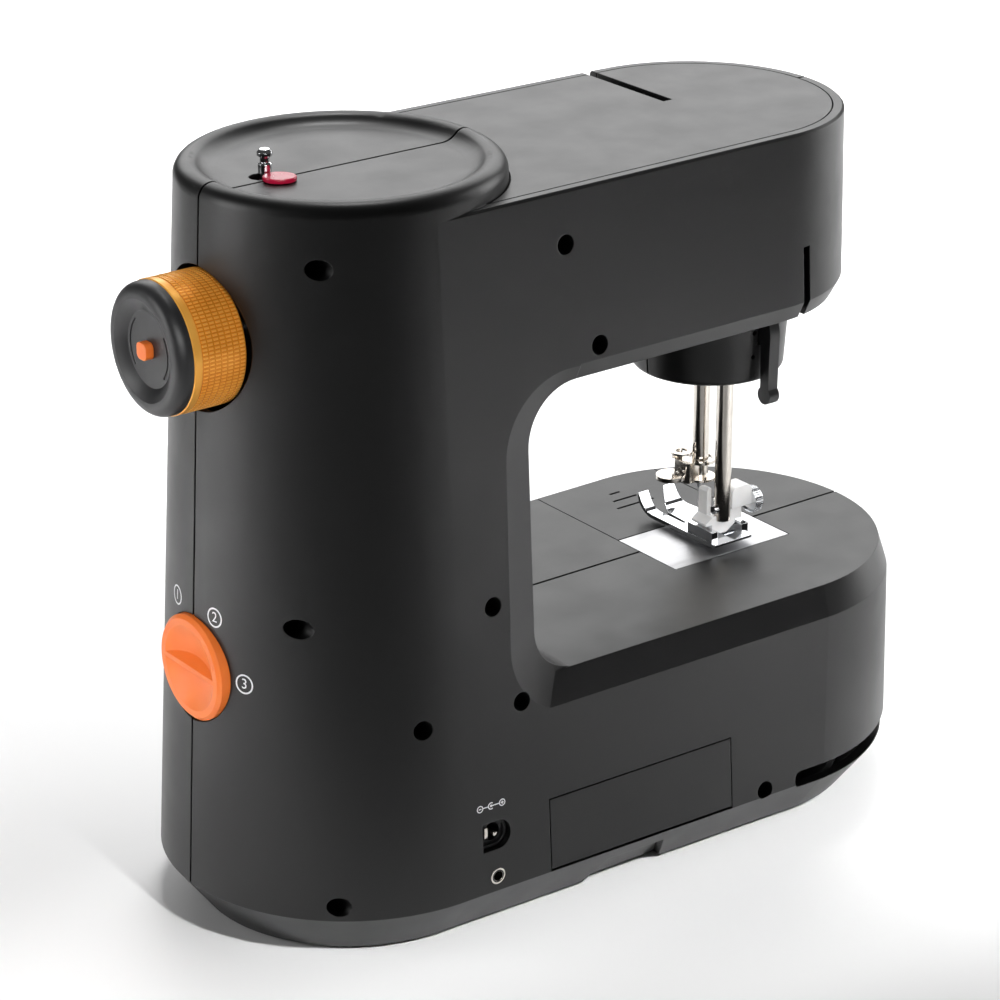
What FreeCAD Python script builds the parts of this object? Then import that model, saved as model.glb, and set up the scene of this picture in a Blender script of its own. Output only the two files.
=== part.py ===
import FreeCAD, Part
import math
import os

# Small electric sewing machine. Millimetres, +Z up, front towards -Y, hand wheel towards +X.
# Plan positions are measured from the pillar's axis, heights from the table top.

V = FreeCAD.Vector

# General clearances
running_clearance = 0.05
part_clearance = 0.3
shell_gap = 0.9

# Casing
wall = 2.5
foot_height = 1.5
arm_top = 250.0
arm_depth = 64.0
pillar_rise = 8.0
pillar_top_radius = 53.0
wall_taper = 0.0533
rim_round = 5.0
rim_crest_round = 4.0
dish_depth = 3.5
arm_reach = 197.0
arm_end_spread = -1.6
arm_edge_chamfer = 0.8
bed_top = 87.5
bed_reach = 221.7
bed_end_spread = 2.9
base_chamfer_height = 16.3
base_chamfer_inset = 13.0
base_ledge_width = 3.4
base_plate_thickness = 2.5
throat_reach = 33.5
throat_chamfer_depth = 3.2
throat_chamfer_width = 11.4
bed_chamfer_height = 10.6
arm_chamfer_height = 5.9
throat_upper_radius = 20.0
throat_upper_flare = 6.5
throat_lower_radius = 16.0
throat_lower_flare = 8.0
seam_sink = 0.1

# Arm cover and its slot
cover_margin = 3.8
cover_ledge = 3.2
cover_gap = 0.45
take_up_slot_width = 4.0
take_up_slot_end = -5.7
take_up_slot_drop = 55.0

# Screws that hold the two shells together: plan x and height
screw_places = [(36.0, 237.7), (45.8, 119.6), (13.4, 82.7), (40.7, 22.9), (-48.7, 232.4),
                (-61.3, 196.6), (-14.8, 118.5), (-25.0, 82.5), (-127.2, 20.2)]
screw_tower_radius = 4.5
screw_well_radius = 3.3
screw_head_radius = 2.8
screw_head_height = 2.0
screw_shank_radius = 1.4
screw_hole_radius = 1.5
screw_seat_y = 9.0
screw_length = 20.0

# Needle head under the arm
head_from_end = 42.5
needle_y = -2.2
presser_y = 10.4
boss_depth = 32.5
boss_top_radius = 29.5
boss_low_radius = 27.0
boss_edge_round = 2.5
set_screw_radius = 0.9
set_screw_depth = 1.5
set_screw_heights = (10.1, 19.0)
bar_radius = 3.0
bar_hole_clearance = 0.6

# Upper drive
shaft_drop = 41.7
shaft_radius = 4.0
bush_radius = 6.0
bush_length = 8.0
frame_plate = 4.0
frame_top_margin = 12.0
crank_radius = 12.0
crank_disc_radius = 16.0
crank_disc_thickness = 4.0
link_length = 30.0
link_thickness = 2.5
link_eye_radius = 4.0
link_offset = 4.5
gear_module = 1.0
gear_teeth = 46
pinion_teeth = 10
gear_width = 6.0
gear_face_x = 34.0
motor_radius = 14.0
motor_length = 40.0
motor_drop = 2.0
motor_boss_radius = 5.0
motor_shaft_radius = 1.15
bracket_x = 26.0
pulley_x = 1.0
belt_width = 5.6
belt_thickness = 1.2
upper_pulley_radius = 10.0
lower_pulley_radius = 5.0
flange_height = 2.0
flange_thickness = 1.0

# Hand wheel
wheel_radius = 22.0
wheel_bore_radius = 18.0
wheel_inner_x = 51.0
wheel_joint_x = 70.1
wheel_rim_depth = 5.6
wheel_dish_depth = 2.6
wheel_rim_round = 4.0
wheel_hub_radius = 9.0
wheel_hole_clearance = 1.6
peg_size = 5.6
peg_height = 2.8
arc_groove_radius = 11.0
arc_groove_width = 0.6
arc_groove_depth = 0.35
arc_groove_spans = ((132.0, 221.0), (-42.0, 36.0))
cap_bump_radius = 1.4
cap_bump_place = 16.8
cap_bump_turn = 26.0

# Selector dial
dial_height = 95.9
dial_radius = 18.0
dial_face_x = 63.2
dial_thickness = 5.6
dial_floor = 3.0
dial_stem_radius = 5.0
dial_stem_length = 18.0
dial_dish_radius = 14.5
dial_dish_depth = 3.4
dial_ridge_top = 1.6
dial_ridge_slope = 0.85
dial_edge_round = 1.2

# Bobbin winder on the pillar's top
winder_x = 25.5
winder_y = -4.7
winder_travel = 2.2
spindle_radius = 2.2
spindle_neck_radius = 1.5
spindle_head_radius = 2.5
spindle_height = 8.8
well_margin = 1.2
tab_offset_x = 0.7
tab_offset_y = 7.2
tab_post_radius = 1.5
tab_length = 10.8
tab_width = 9.2
tab_thickness = 1.4
tab_turn = 143.0
tyre_radius = 6.0
tyre_height = 5.0

# Needle bar, clamp and needle
needle_bar_low = 107.2
needle_bar_high = 231.0
clamp_low = 108.3
clamp_high = 116.0
clamp_plate = 0.8
clamp_reach = 2.6
clamp_loop = 1.1
clamp_block = 2.6
clamp_eye_radius = 4.0
clamp_eye_bore = 2.1
clamp_eye_rise = 2.4
needle_radius = 0.45
needle_shank_radius = 1.0
needle_tip = 80.0
needle_rest_lift = 8.0

# Presser bar, lever and foot
presser_bar_high = 222.0
lever_offset = -1.5
lever_pivot_y = 20.0
lever_pivot_drop = 14.3
lever_width = 4.4
lever_reach = 14.0
lever_handle = 5.0
lever_handle_length = 24.8
lever_bulb_radius = 3.2
lever_sector = 30.0
lever_pin_radius = 1.5
lever_hub_radius = 4.0
collar_height = 8.0
foot_gap = 1.6
foot_width = 18.0
foot_sole = 1.4
near_toe_width = 4.5
far_toe_width = 4.2
toe_gap = 1.2
toe_rise = 7.2
foot_heel_y = 17.5
foot_toe_y = -25.0
foot_pin_radius = 0.9
foot_pin_height = 4.0
lug_width = 2.8
lug_inset = 0.6
lug_height = 5.2
lug_front_y = 1.5
lug_back_y = 15.0
ankle_width = 16.5
ankle_flange = 3.8
ankle_depth = 8.0
ankle_groove = 7.2
ankle_top = 19.2
ankle_wall = 2.0
ankle_wall_front = 2.2
ankle_screw_rise = 11.6

# Take-up lever
take_up_offset = 15.5
take_up_y = -14.0
take_up_height = 214.0
take_up_length = 48.0
take_up_angle = -15.0
take_up_thickness = 2.0

# Bed mechanism
plate_near_reach = 29.1
plate_far_reach = 24.0
plate_front_y = -12.5
plate_back_y = 20.0
plate_thickness = 1.5
hook_offset = 18.5
hook_radius = 16.5
hook_wall = 1.6
hook_floor = 64.0
hook_top = 82.0
hook_shaft_radius = 3.0
bobbin_radius = 10.2
bobbin_height = 11.4
lower_shaft_z = 34.0
bevel_pitch_radius = 9.0
bevel_face = 4.0
bevel_teeth = 14
feed_row_spacing = 11.0
feed_row_width = 2.4
feed_row_depth = 1.4
feed_row_front = 5.8
feed_row_back = 12.8
feed_slot_margin = 0.7
feed_stroke = 1.5
feed_lift = 1.5

# Battery bay, sockets and buttons
door_near_x = -34.6
door_far_x = -112.6
door_top = 44.5
door_gap = 0.45
latch_drop = 5.6
bay_depth = 31.0
bay_wall = 1.5
socket_x = -13.0
dc_height = 38.1
dc_width = 11.2
dc_tall = 10.4
pedal_height = 23.0
pedal_bore_radius = 1.8
pedal_ring_radius = 2.9
board_thickness = 1.6
end_slot_start = -141.0
end_slot_low = 16.4
end_slot_height = 6.4
end_slot_round = 2.6
base_rim = 2.0
button_height = 160.0
button_radius = 6.0
button_travel = 1.5
tension_x = -95.0
tension_drop = 28.0
tension_radius = 11.0
cutter_angle = 10.0
cutter_width = 3.2
cutter_top = 211.0
lamp_radius = 4.0
lamp_y = -41.0

# Values that follow from the ones above
pillar_top = arm_top + pillar_rise
arm_underside = arm_top - arm_depth
head_x = head_from_end - arm_reach
lever_x = head_x + lever_offset
lever_pivot_z = arm_underside - lever_pivot_drop
plate_near_x = head_x + plate_near_reach
plate_far_x = head_x - plate_far_reach
tension_height = arm_top - tension_drop
foot_base = bed_top + foot_gap
ankle_screw_z = foot_base + ankle_screw_rise
presser_bar_low = foot_base + ankle_groove
feed_row_low = bed_top - plate_thickness - feed_row_depth
shaft_z = arm_top - shaft_drop
boss_low = arm_underside - boss_depth
dish_z = pillar_top - dish_depth
chamfer_top = foot_height + base_chamfer_height
bed_shoulder = bed_top - bed_chamfer_height
arm_shoulder = arm_underside + arm_chamfer_height
arm_floor = arm_underside + wall
arm_ceiling = arm_top - 2 * wall
boss_floor = boss_low + wall
base_top = foot_height + base_plate_thickness
hook_y = needle_y - hook_offset
take_up_x = head_x + take_up_offset
wheel_tip = wheel_joint_x + wheel_rim_depth
frame_top = shaft_z + frame_top_margin
motor_spread = gear_module * (gear_teeth + pinion_teeth) / 2
motor_y = -math.sqrt(motor_spread ** 2 - motor_drop ** 2)
motor_z = shaft_z - motor_drop
middle_x = (wheel_tip - bed_reach) / 2
far = 400.0


def box(x0, x1, y0, y1, z0, z1):
    return Part.makeBox(x1 - x0, y1 - y0, z1 - z0, V(x0, y0, z0))


def rod_x(y, z, radius, x0, x1):
    return Part.makeCylinder(radius, x1 - x0, V(x0, y, z), V(1, 0, 0))


def rod_y(x, z, radius, y0, y1):
    return Part.makeCylinder(radius, y1 - y0, V(x, y0, z), V(0, 1, 0))


def rod_z(x, y, radius, z0, z1):
    return Part.makeCylinder(radius, z1 - z0, V(x, y, z0))


def arc(a, b, c):
    return Part.Arc(a, b, c).toShape()


def line(a, b):
    return Part.LineSegment(a, b).toShape()


def polygon_face(points):
    return Part.Face(Part.makePolygon(points + [points[0]]))


def fuse(shapes):
    return shapes[0].multiFuse(shapes[1:]).removeSplitter()


def turned(profile, centre, axis):
    # A face of revolution, from a list of (radius, height) points, about an axis.
    face = polygon_face([V(r, 0, h) for r, h in profile])
    solid = face.revolve(V(0, 0, 0), V(0, 0, 1), 360)
    solid.Placement = FreeCAD.Placement(centre, FreeCAD.Rotation(V(0, 0, 1), axis))
    return solid


# Casing

def wall_half(z):
    # Half width of the tapered casing at height z.
    return pillar_top_radius + wall_taper * (pillar_top - z)


def end_spread(z):
    # How much wider than the pillar the far end is: wider at the bed, narrower at the arm.
    bed_middle = (chamfer_top + bed_top) / 2
    arm_middle = (arm_underside + arm_top) / 2
    share = (z - bed_middle) / (arm_middle - bed_middle)
    return bed_end_spread + share * (arm_end_spread - bed_end_spread)


def stadium(z, inset, reach):
    # Plan outline: an arc round the pillar and an arc at the far end, joined by tangent lines.
    near_radius = wall_half(z) - inset
    spread = end_spread(z)
    end_radius = near_radius + spread
    end_x = end_radius - reach + inset
    lean = spread / end_x
    rise = math.sqrt(1 - lean ** 2)
    near = V(near_radius * lean, near_radius * rise, z)
    end = V(end_x + end_radius * lean, end_radius * rise, z)
    near_front = V(near.x, -near.y, z)
    end_front = V(end.x, -end.y, z)
    edges = [line(near, end), arc(end, V(inset - reach, 0, z), end_front),
             line(end_front, near_front), arc(near_front, V(near_radius, 0, z), near)]
    return Part.Wire(edges)


def stacked(levels, reach):
    # Solid through plan outlines, each given as a height and its inset from the casing wall.
    return Part.makeLoft([stadium(z, inset, reach) for z, inset in levels], True, True)


def bed_solid(skin):
    if skin == 0:
        levels = [(foot_height, base_chamfer_inset), (chamfer_top, 0),
                  (bed_shoulder, 0), (bed_top, throat_chamfer_depth)]
    else:
        floor_inset = base_chamfer_inset + base_ledge_width
        levels = [(0, floor_inset), (base_top, floor_inset), (chamfer_top + skin / 2, skin),
                  (bed_shoulder, skin), (bed_top - skin, throat_chamfer_depth + skin)]
    return stacked(levels, bed_reach)


def arm_solid(skin):
    if skin == 0:
        levels = [(arm_underside, throat_chamfer_depth), (arm_shoulder, 0),
                  (arm_top - arm_edge_chamfer, 0), (arm_top, arm_edge_chamfer)]
    else:
        levels = [(arm_floor, throat_chamfer_depth + skin), (arm_shoulder, skin), (arm_ceiling, skin)]
    return stacked(levels, arm_reach)


def neck_solid(skin):
    # The pillar between bed and arm, with the throat's rounded and chamfered edges cut out of it.
    wires = [stadium(bed_shoulder, skin, bed_reach), stadium(arm_shoulder, skin, arm_reach)]
    block = Part.makeLoft(wires, True, True)
    end_x = -throat_reach - max(throat_upper_radius, throat_lower_radius)
    block = block.common(box(end_x, far, -far, far, 0, far))
    return block.cut(throat_cutter(skin))


def throat_cutter(skin):
    # Opening under the arm: its sections lie parallel to the sloping walls and flare towards them.
    outside = 2.0

    def section(side, flare):
        depth = skin + throat_chamfer_depth * (1 - flare)
        right = skin - throat_reach + flare * throat_chamfer_width
        low = bed_top - skin - seam_sink - flare * bed_chamfer_height
        high = arm_underside + skin + seam_sink + flare * arm_chamfer_height
        low_bend = throat_lower_radius + skin + flare * throat_lower_flare
        high_bend = throat_upper_radius + skin + flare * throat_upper_flare
        slant = 1 - math.sqrt(0.5)

        def at(x, z):
            return V(x, side * (wall_half(z) - depth), z)

        low_out, low_end = at(-far, low), at(right - low_bend, low)
        low_mid = at(right - slant * low_bend, low + slant * low_bend)
        low_start = at(right, low + low_bend)
        high_start = at(right, high - high_bend)
        high_mid = at(right - slant * high_bend, high - slant * high_bend)
        high_end, high_out = at(right - high_bend, high), at(-far, high)
        return Part.Wire([line(low_out, low_end), arc(low_end, low_mid, low_start),
                          line(low_start, high_start), arc(high_start, high_mid, high_end),
                          line(high_end, high_out), line(high_out, low_out)])

    wires = [section(1, 1 + outside), section(1, 0), section(-1, 0), section(-1, 1 + outside)]
    return Part.makeLoft(wires, True, True)


def pillar_outer():
    low = arm_top - arm_edge_chamfer
    rim_z = pillar_top - rim_round
    rim_r = wall_half(rim_z)
    slant = math.sqrt(0.5)
    half = math.radians(22.5)
    crest = V(rim_r - rim_round, 0, pillar_top)
    turn = V(crest.x - rim_crest_round * slant, 0, pillar_top - rim_crest_round * (1 - slant))
    dish_round = (turn.z - dish_z) / (1 - slant)
    dish = V(turn.x - dish_round * slant, 0, dish_z)
    rim_mid = V(rim_r - rim_round * (1 - slant), 0, rim_z + rim_round * slant)
    crest_mid = V(crest.x - rim_crest_round * math.sin(half), 0,
                  pillar_top - rim_crest_round * (1 - math.cos(half)))
    dish_mid = V(dish.x + dish_round * math.sin(half), 0, dish_z + dish_round * (1 - math.cos(half)))
    bottom = V(wall_half(low), 0, low)
    rim = V(rim_r, 0, rim_z)
    edges = [line(V(0, 0, low), bottom), line(bottom, rim), arc(rim, rim_mid, crest),
             arc(crest, crest_mid, turn), arc(turn, dish_mid, dish),
             line(dish, V(0, 0, dish_z)), line(V(0, 0, dish_z), V(0, 0, low))]
    return Part.Face(Part.Wire(edges)).revolve(V(0, 0, 0), V(0, 0, 1), 360)


def pillar_inner():
    top = dish_z - wall
    return Part.makeCone(wall_half(arm_ceiling) - wall, wall_half(top) - wall, top - arm_ceiling,
                         V(0, 0, arm_ceiling))


def head_boss(skin):
    top = arm_shoulder + wall
    low = boss_low + skin
    low_radius = boss_low_radius - skin
    round_z = V(low_radius, 0, low + boss_edge_round)
    slant = boss_edge_round * (1 - math.sqrt(0.5))
    edges = [line(V(0, 0, top), V(boss_top_radius - skin, 0, top)),
             line(V(boss_top_radius - skin, 0, top), round_z),
             arc(round_z, V(low_radius - slant, 0, low + slant), V(low_radius - boss_edge_round, 0, low)),
             line(V(low_radius - boss_edge_round, 0, low), V(0, 0, low)),
             line(V(0, 0, low), V(0, 0, top))]
    solid = Part.Face(Part.Wire(edges)).revolve(V(0, 0, 0), V(0, 0, 1), 360)
    solid.translate(V(head_x, 0, 0))
    return solid


def body_solid(skin):
    pillar = pillar_inner() if skin else pillar_outer()
    return fuse([bed_solid(skin), neck_solid(skin), arm_solid(skin), pillar, head_boss(skin)])


def cover_outline(margin, low, high):
    # Plan of the arm's top opening, bounded by the pillar.
    plan = stadium(low, margin, arm_reach)
    solid = Part.Face(plan).extrude(V(0, 0, high - low))
    return solid.cut(rod_z(0, 0, wall_half(arm_top) + margin - cover_margin, low - 1, high + 1))


def take_up_slot():
    half = take_up_slot_width / 2
    low = arm_top - take_up_slot_drop
    top_cut = box(take_up_x - half, take_up_x + half, -far, take_up_slot_end, arm_ceiling - wall, far)
    front_cut = box(take_up_x - half, take_up_x + half, -far, -wall_half(arm_top) + 2 * wall, low, far)
    return top_cut.fuse(front_cut)


def bobbin_ledge():
    # Shelf under the bobbin cover and the needle plate.
    return box(plate_far_x - wall, plate_near_x + wall, -wall_half(bed_top) + throat_chamfer_depth + wall / 2,
               plate_back_y + wall, bed_top - 2 * wall, bed_top - wall / 2)


def bed_openings():
    top = bed_top + wall
    cover_pocket = box(plate_far_x, plate_near_x, -far, plate_front_y, bed_top - wall, top)
    plate_pocket = box(plate_far_x, plate_near_x, plate_front_y, plate_back_y, bed_top - plate_thickness, top)
    well_half = hook_radius + 2.0
    well = box(head_x - well_half, head_x + well_half, hook_y - well_half, plate_back_y - 2 * wall,
               bed_top - 3 * wall, top)
    return [cover_pocket, plate_pocket, well]


def wheel_hole():
    return rod_x(0, shaft_z, wheel_radius + wheel_hole_clearance, wheel_inner_x - wall, far)


def dial_seat():
    floor_x = dial_face_x - dial_thickness - part_clearance
    return rod_x(0, dial_height, dial_radius + wall, floor_x - dial_floor, floor_x + wall)


def dial_openings():
    floor_x = dial_face_x - dial_thickness - part_clearance
    pocket = rod_x(0, dial_height, dial_radius + part_clearance, floor_x, far)
    stem = rod_x(0, dial_height, dial_stem_radius + running_clearance, 0, far)
    return [pocket, stem]


def winder_well():
    # Slots in the dish for the sideways travel of the spindle and of the tab's post.
    post = winder_post()
    low = dish_z - 3 * wall
    solids = []
    for x, y, reach in ((winder_x, winder_y, spindle_radius + well_margin),
                        (post.x, post.y, tab_post_radius + part_clearance)):
        solids.append(rod_z(x, y, reach, low, far))
        solids.append(rod_z(x + winder_travel, y, reach, low, far))
        solids.append(box(x, x + winder_travel, y - reach, y + reach, low, far))
    return fuse(solids)


def winder_post():
    return V(winder_x - tab_offset_x, winder_y + tab_offset_y, 0)


def screw_towers():
    return [rod_y(x, z, screw_tower_radius, -far / 4, far / 4) for x, z in screw_places]


def screw_holes():
    holes = []
    for x, z in screw_places:
        holes.append(rod_y(x, z, screw_well_radius, screw_seat_y, far / 4))
        holes.append(rod_y(x, z, screw_hole_radius, screw_seat_y - screw_length, screw_seat_y))
    return holes


def door_box(gap):
    return box(door_far_x + gap, door_near_x - gap, wall_half(0) - bay_depth / 2, far,
               chamfer_top + 2 * gap, door_top - gap)


def latch_notch():
    # Finger scoop with slanting ends in the base chamfer, under the middle of the battery door.
    depth = 1.6
    middle = (door_near_x + door_far_x) / 2
    half = 17.0
    slant = 5.0
    low = foot_height - 1
    high = chamfer_top - latch_drop
    y_low = wall_half(foot_height) - base_chamfer_inset
    y_high = y_low + base_chamfer_inset * (high - foot_height) / base_chamfer_height
    profile = [V(0, y_high + 4, high), V(0, y_high - depth, high), V(0, y_low - depth, low),
               V(0, y_high + 4, low)]
    scoop = polygon_face(profile).extrude(V(2 * half, 0, 0)).translated(V(middle - half, 0, 0))
    ends = [V(middle - half, 0, low), V(middle + half, 0, low), V(middle + half - slant, 0, high),
            V(middle - half + slant, 0, high)]
    return scoop.common(polygon_face(ends).extrude(V(0, far, 0)))


def dc_opening(y0, y1):
    # D-shaped opening: flat side towards the pillar, round side towards the needle.
    round_r = dc_tall / 2
    flat_x = socket_x + dc_width / 2
    round_x = flat_x - dc_width + round_r
    plate = box(round_x, flat_x, y0, y1, dc_height - round_r, dc_height + round_r)
    return plate.fuse(rod_y(round_x, dc_height, round_r, y0, y1))


def end_plan(inset, low, high):
    return Part.Face(stadium(low, inset, bed_reach)).extrude(V(0, 0, high - low))


def end_slot():
    # Slot with round corners that runs round the far end of the bed, above the base chamfer.
    low, high = end_slot_low, end_slot_low + end_slot_height
    turn_x = end_slot_start - end_slot_round
    inner_low, inner_high = low + end_slot_round, high - end_slot_round
    blade = fuse([box(-far, turn_x, -far, far, low, high),
                  box(-far, end_slot_start, -far, far, inner_low, inner_high),
                  rod_y(turn_x, inner_low, end_slot_round, -far, far),
                  rod_y(turn_x, inner_high, end_slot_round, -far, far)])
    return blade.cut(end_plan(2 * wall, low - 1, high + 1))


def cutter_slot():
    turn = math.radians(cutter_angle)
    end_radius = wall_half(arm_underside) + arm_end_spread
    x = end_radius - arm_reach - end_radius * math.sin(turn)
    y = end_radius * math.cos(turn)
    half = cutter_width / 2
    return box(x - half, x + half, y - 4 * wall, far, arm_underside - 1, cutter_top)


def lever_slot():
    half = lever_width / 2 + part_clearance
    return box(lever_x - half, lever_x + half, lever_pivot_y, boss_top_radius + wall,
               lever_pivot_z - lever_hub_radius, arm_underside)


def set_screw_holes():
    # Two small blind holes in the back of the boss, beside the lever.
    x = lever_x + lever_width / 2 + 2 * set_screw_radius
    floor_y = boss_low_radius - set_screw_depth
    return [rod_y(x, boss_low + height, set_screw_radius, floor_y, far) for height in set_screw_heights]


def head_openings():
    hole = bar_radius + bar_hole_clearance
    return [rod_z(head_x, needle_y, hole, boss_low - 1, boss_floor + 1),
            rod_z(head_x, presser_y, hole, boss_low - 1, boss_floor + 1),
            rod_z(head_x, lamp_y, lamp_radius + running_clearance, arm_underside - 1, arm_floor + 1),
            lever_slot(), cutter_slot()] + set_screw_holes()


def front_openings():
    button = rod_y(0, button_height, button_radius + part_clearance, -far, -pillar_top_radius / 2)
    tension = rod_y(tension_x, tension_height, 3.0 + running_clearance, -far, 0)
    return [button, tension]


def casing(outer, inner):
    shell = outer.cut(inner)
    added = [bobbin_ledge(), dial_seat()] + screw_towers()
    shell = fuse([shell] + [piece.common(outer) for piece in added])
    cuts = [cover_outline(cover_margin, arm_top - wall, far),
            cover_outline(cover_margin + cover_ledge, arm_ceiling - 1, far), take_up_slot(), wheel_hole(),
            winder_well(), door_box(0), latch_notch(), dc_opening(0, far), end_slot(),
            rod_y(socket_x, pedal_height, pedal_ring_radius + running_clearance, 0, far)]
    cuts += bed_openings() + dial_openings() + screw_holes() + head_openings() + front_openings()
    return shell.cut(cuts)


def make_casing(parts):
    outer = body_solid(0)
    inner = body_solid(wall)
    shell = casing(outer, inner)
    half = shell_gap / 2
    parts["back_shell"] = shell.common(box(-far, far, half, far, 0, far))
    parts["front_shell"] = shell.common(box(-far, far, -far, -half, 0, far))
    cover = cover_outline(cover_margin + cover_gap, arm_top - wall, arm_top)
    parts["arm_cover"] = cover.cut(take_up_slot())
    skin = outer.cut(inner)
    parts["battery_door"] = skin.common(door_box(door_gap))
    parts["bobbin_cover"] = bobbin_cover(outer)


def bobbin_cover(outer):
    gap = part_clearance
    blank = box(plate_far_x + gap, plate_near_x - gap, -far, plate_front_y - gap, bed_top - wall, bed_top)
    cover = outer.common(blank)
    middle = (plate_near_x + plate_far_x) / 2
    for row, length in enumerate((17.0, 11.0, 4.6)):
        y = -35.3 - 6.1 * row
        groove = box(middle - length / 2, middle + length / 2, y - 0.5, y + 0.5, bed_top - 0.6, bed_top + 1)
        cover = cover.cut(groove)
    return cover


def make_base(parts):
    inset = base_chamfer_inset + base_ledge_width + part_clearance
    plan = stadium(foot_height, inset, bed_reach)
    plate = Part.Face(plan).extrude(V(0, 0, base_plate_thickness))
    parts["base_plate"] = plate.fuse(base_rim_wall(inset + base_rim)).removeSplitter()
    feet = []
    for x in (25.0, 40.0 - bed_reach + base_chamfer_inset):
        for y in (-30.0, 30.0):
            profile = [(0, 0), (6.0, 0), (7.0, foot_height), (0, foot_height)]
            feet.append(turned(profile, V(x, y, 0), V(0, 0, 1)))
    parts["rubber_feet"] = Part.makeCompound(feet)


def base_rim_wall(inset):
    # Low wall on the base plate that closes the bed's end slot towards the inside.
    high = end_slot_low + end_slot_height + 2 * wall
    band = end_plan(inset, foot_height, high).cut(end_plan(inset + base_rim, foot_height, high))
    return band.common(box(-far, end_slot_start + 3 * wall, -far, far, foot_height, high))


def make_screws(parts):
    screws = []
    for x, z in screw_places:
        head = rod_y(x, z, screw_head_radius, screw_seat_y, screw_seat_y + screw_head_height)
        shank = rod_y(x, z, screw_shank_radius, screw_seat_y - screw_length + 1, screw_seat_y)
        screws.append(head.fuse(shank).removeSplitter())
    parts["casing_screws"] = Part.makeCompound(screws)


# Upper drive

def upright(x, y0, y1, z0):
    plate = box(x, x + frame_plate, y0, y1, z0, frame_top)
    return plate.cut(rod_x(0, shaft_z, bush_radius, x - 1, x + frame_plate + 1))


def make_chassis(parts):
    spine_y = 20.0
    end_x = head_x + 23.0
    back_y = spine_y + frame_plate
    plates = [upright(bracket_x, motor_y - 9.0, back_y, shaft_z - motor_radius - 4.0),
              upright(-40.0, -12.0, back_y, arm_floor), upright(end_x, take_up_y - 6.0, back_y, arm_floor)]
    spine = box(end_x, bracket_x + frame_plate, spine_y, back_y, shaft_z - 5.0, frame_top)
    frame = fuse(plates + [spine])
    motor_hole = rod_x(motor_y, motor_z, motor_boss_radius, bracket_x - 1, bracket_x + frame_plate + 1)
    parts["chassis"] = frame.cut(motor_hole)
    pin_end = take_up_x - take_up_thickness / 2 - 0.5
    parts["take_up_pin"] = rod_x(take_up_y, take_up_height, 2.0, pin_end, end_x)
    bushes = []
    for x in (bracket_x, -40.0, end_x):
        bushes.append(bush(x, 0, shaft_z))
    for x in lower_uprights():
        bushes.append(bush(x, hook_y, lower_shaft_z))
    parts["shaft_bushes"] = Part.makeCompound(bushes)


def bush(x, y, z):
    start = x + frame_plate / 2 - bush_length / 2
    sleeve = rod_x(y, z, bush_radius, start, start + bush_length)
    return sleeve.cut(rod_x(y, z, shaft_radius + running_clearance, start - 1, start + bush_length + 1))


def gear_wheel(teeth, turn, width, x, y, z):
    # Spur gear on an X axis; turn is the angle of its first tooth from +Y towards +Z.
    pitch = gear_module * teeth / 2
    tip = pitch + gear_module
    root = pitch - 1.25 * gear_module
    wide = 0.95 * gear_module
    thin = 0.35 * gear_module
    blank = rod_x(0, 0, root, 0, width)
    tooth = polygon_face([V(0, root - 0.3, -wide), V(0, tip, -thin), V(0, tip, thin), V(0, root - 0.3, wide)])
    tooth = tooth.extrude(V(width, 0, 0))
    pieces = [blank]
    for index in range(teeth):
        copy = tooth.copy()
        copy.rotate(V(0, 0, 0), V(1, 0, 0), turn + 360.0 * index / teeth)
        pieces.append(copy)
    gear = fuse(pieces)
    gear.translate(V(x, y, z))
    return gear


def make_drive(parts):
    lean = math.degrees(math.atan2(-motor_drop, motor_y))
    gear = gear_wheel(gear_teeth, lean + 180.0 / gear_teeth, gear_width, gear_face_x, 0, shaft_z)
    parts["drive_gear"] = gear.cut(rod_x(0, shaft_z, shaft_radius, 0, far))
    pinion = gear_wheel(pinion_teeth, lean + 180.0, gear_width, gear_face_x, motor_y, motor_z)
    shaft = rod_x(motor_y, motor_z, motor_shaft_radius, bracket_x + frame_plate + 1, gear_face_x)
    parts["motor_pinion"] = pinion.fuse(shaft).removeSplitter()
    can = rod_x(motor_y, motor_z, motor_radius, bracket_x - motor_length, bracket_x)
    nose = rod_x(motor_y, motor_z, motor_boss_radius, bracket_x, bracket_x + frame_plate + 0.5)
    tail = rod_x(motor_y, motor_z, motor_boss_radius, bracket_x - motor_length - 3, bracket_x - motor_length)
    parts["motor"] = fuse([can, nose, tail])
    main = rod_x(0, shaft_z, shaft_radius, head_x + 14.0, wheel_joint_x)
    parts["main_shaft"] = main
    parts["main_pulley"] = pulley(upper_pulley_radius, 0, shaft_z)
    parts["lower_pulley"] = pulley(lower_pulley_radius, hook_y, lower_shaft_z)
    parts["timing_belt"] = belt()


def pulley(radius, y, z):
    half = belt_width / 2 + part_clearance
    edge = half + flange_thickness
    drum = rod_x(y, z, radius, pulley_x - half, pulley_x + half)
    rim = radius + flange_height
    sides = [rod_x(y, z, rim, pulley_x - edge, pulley_x - half),
             rod_x(y, z, rim, pulley_x + half, pulley_x + edge)]
    bore = rod_x(y, z, shaft_radius, pulley_x - edge - 1, pulley_x + edge + 1)
    return fuse([drum] + sides).cut(bore)


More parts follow.
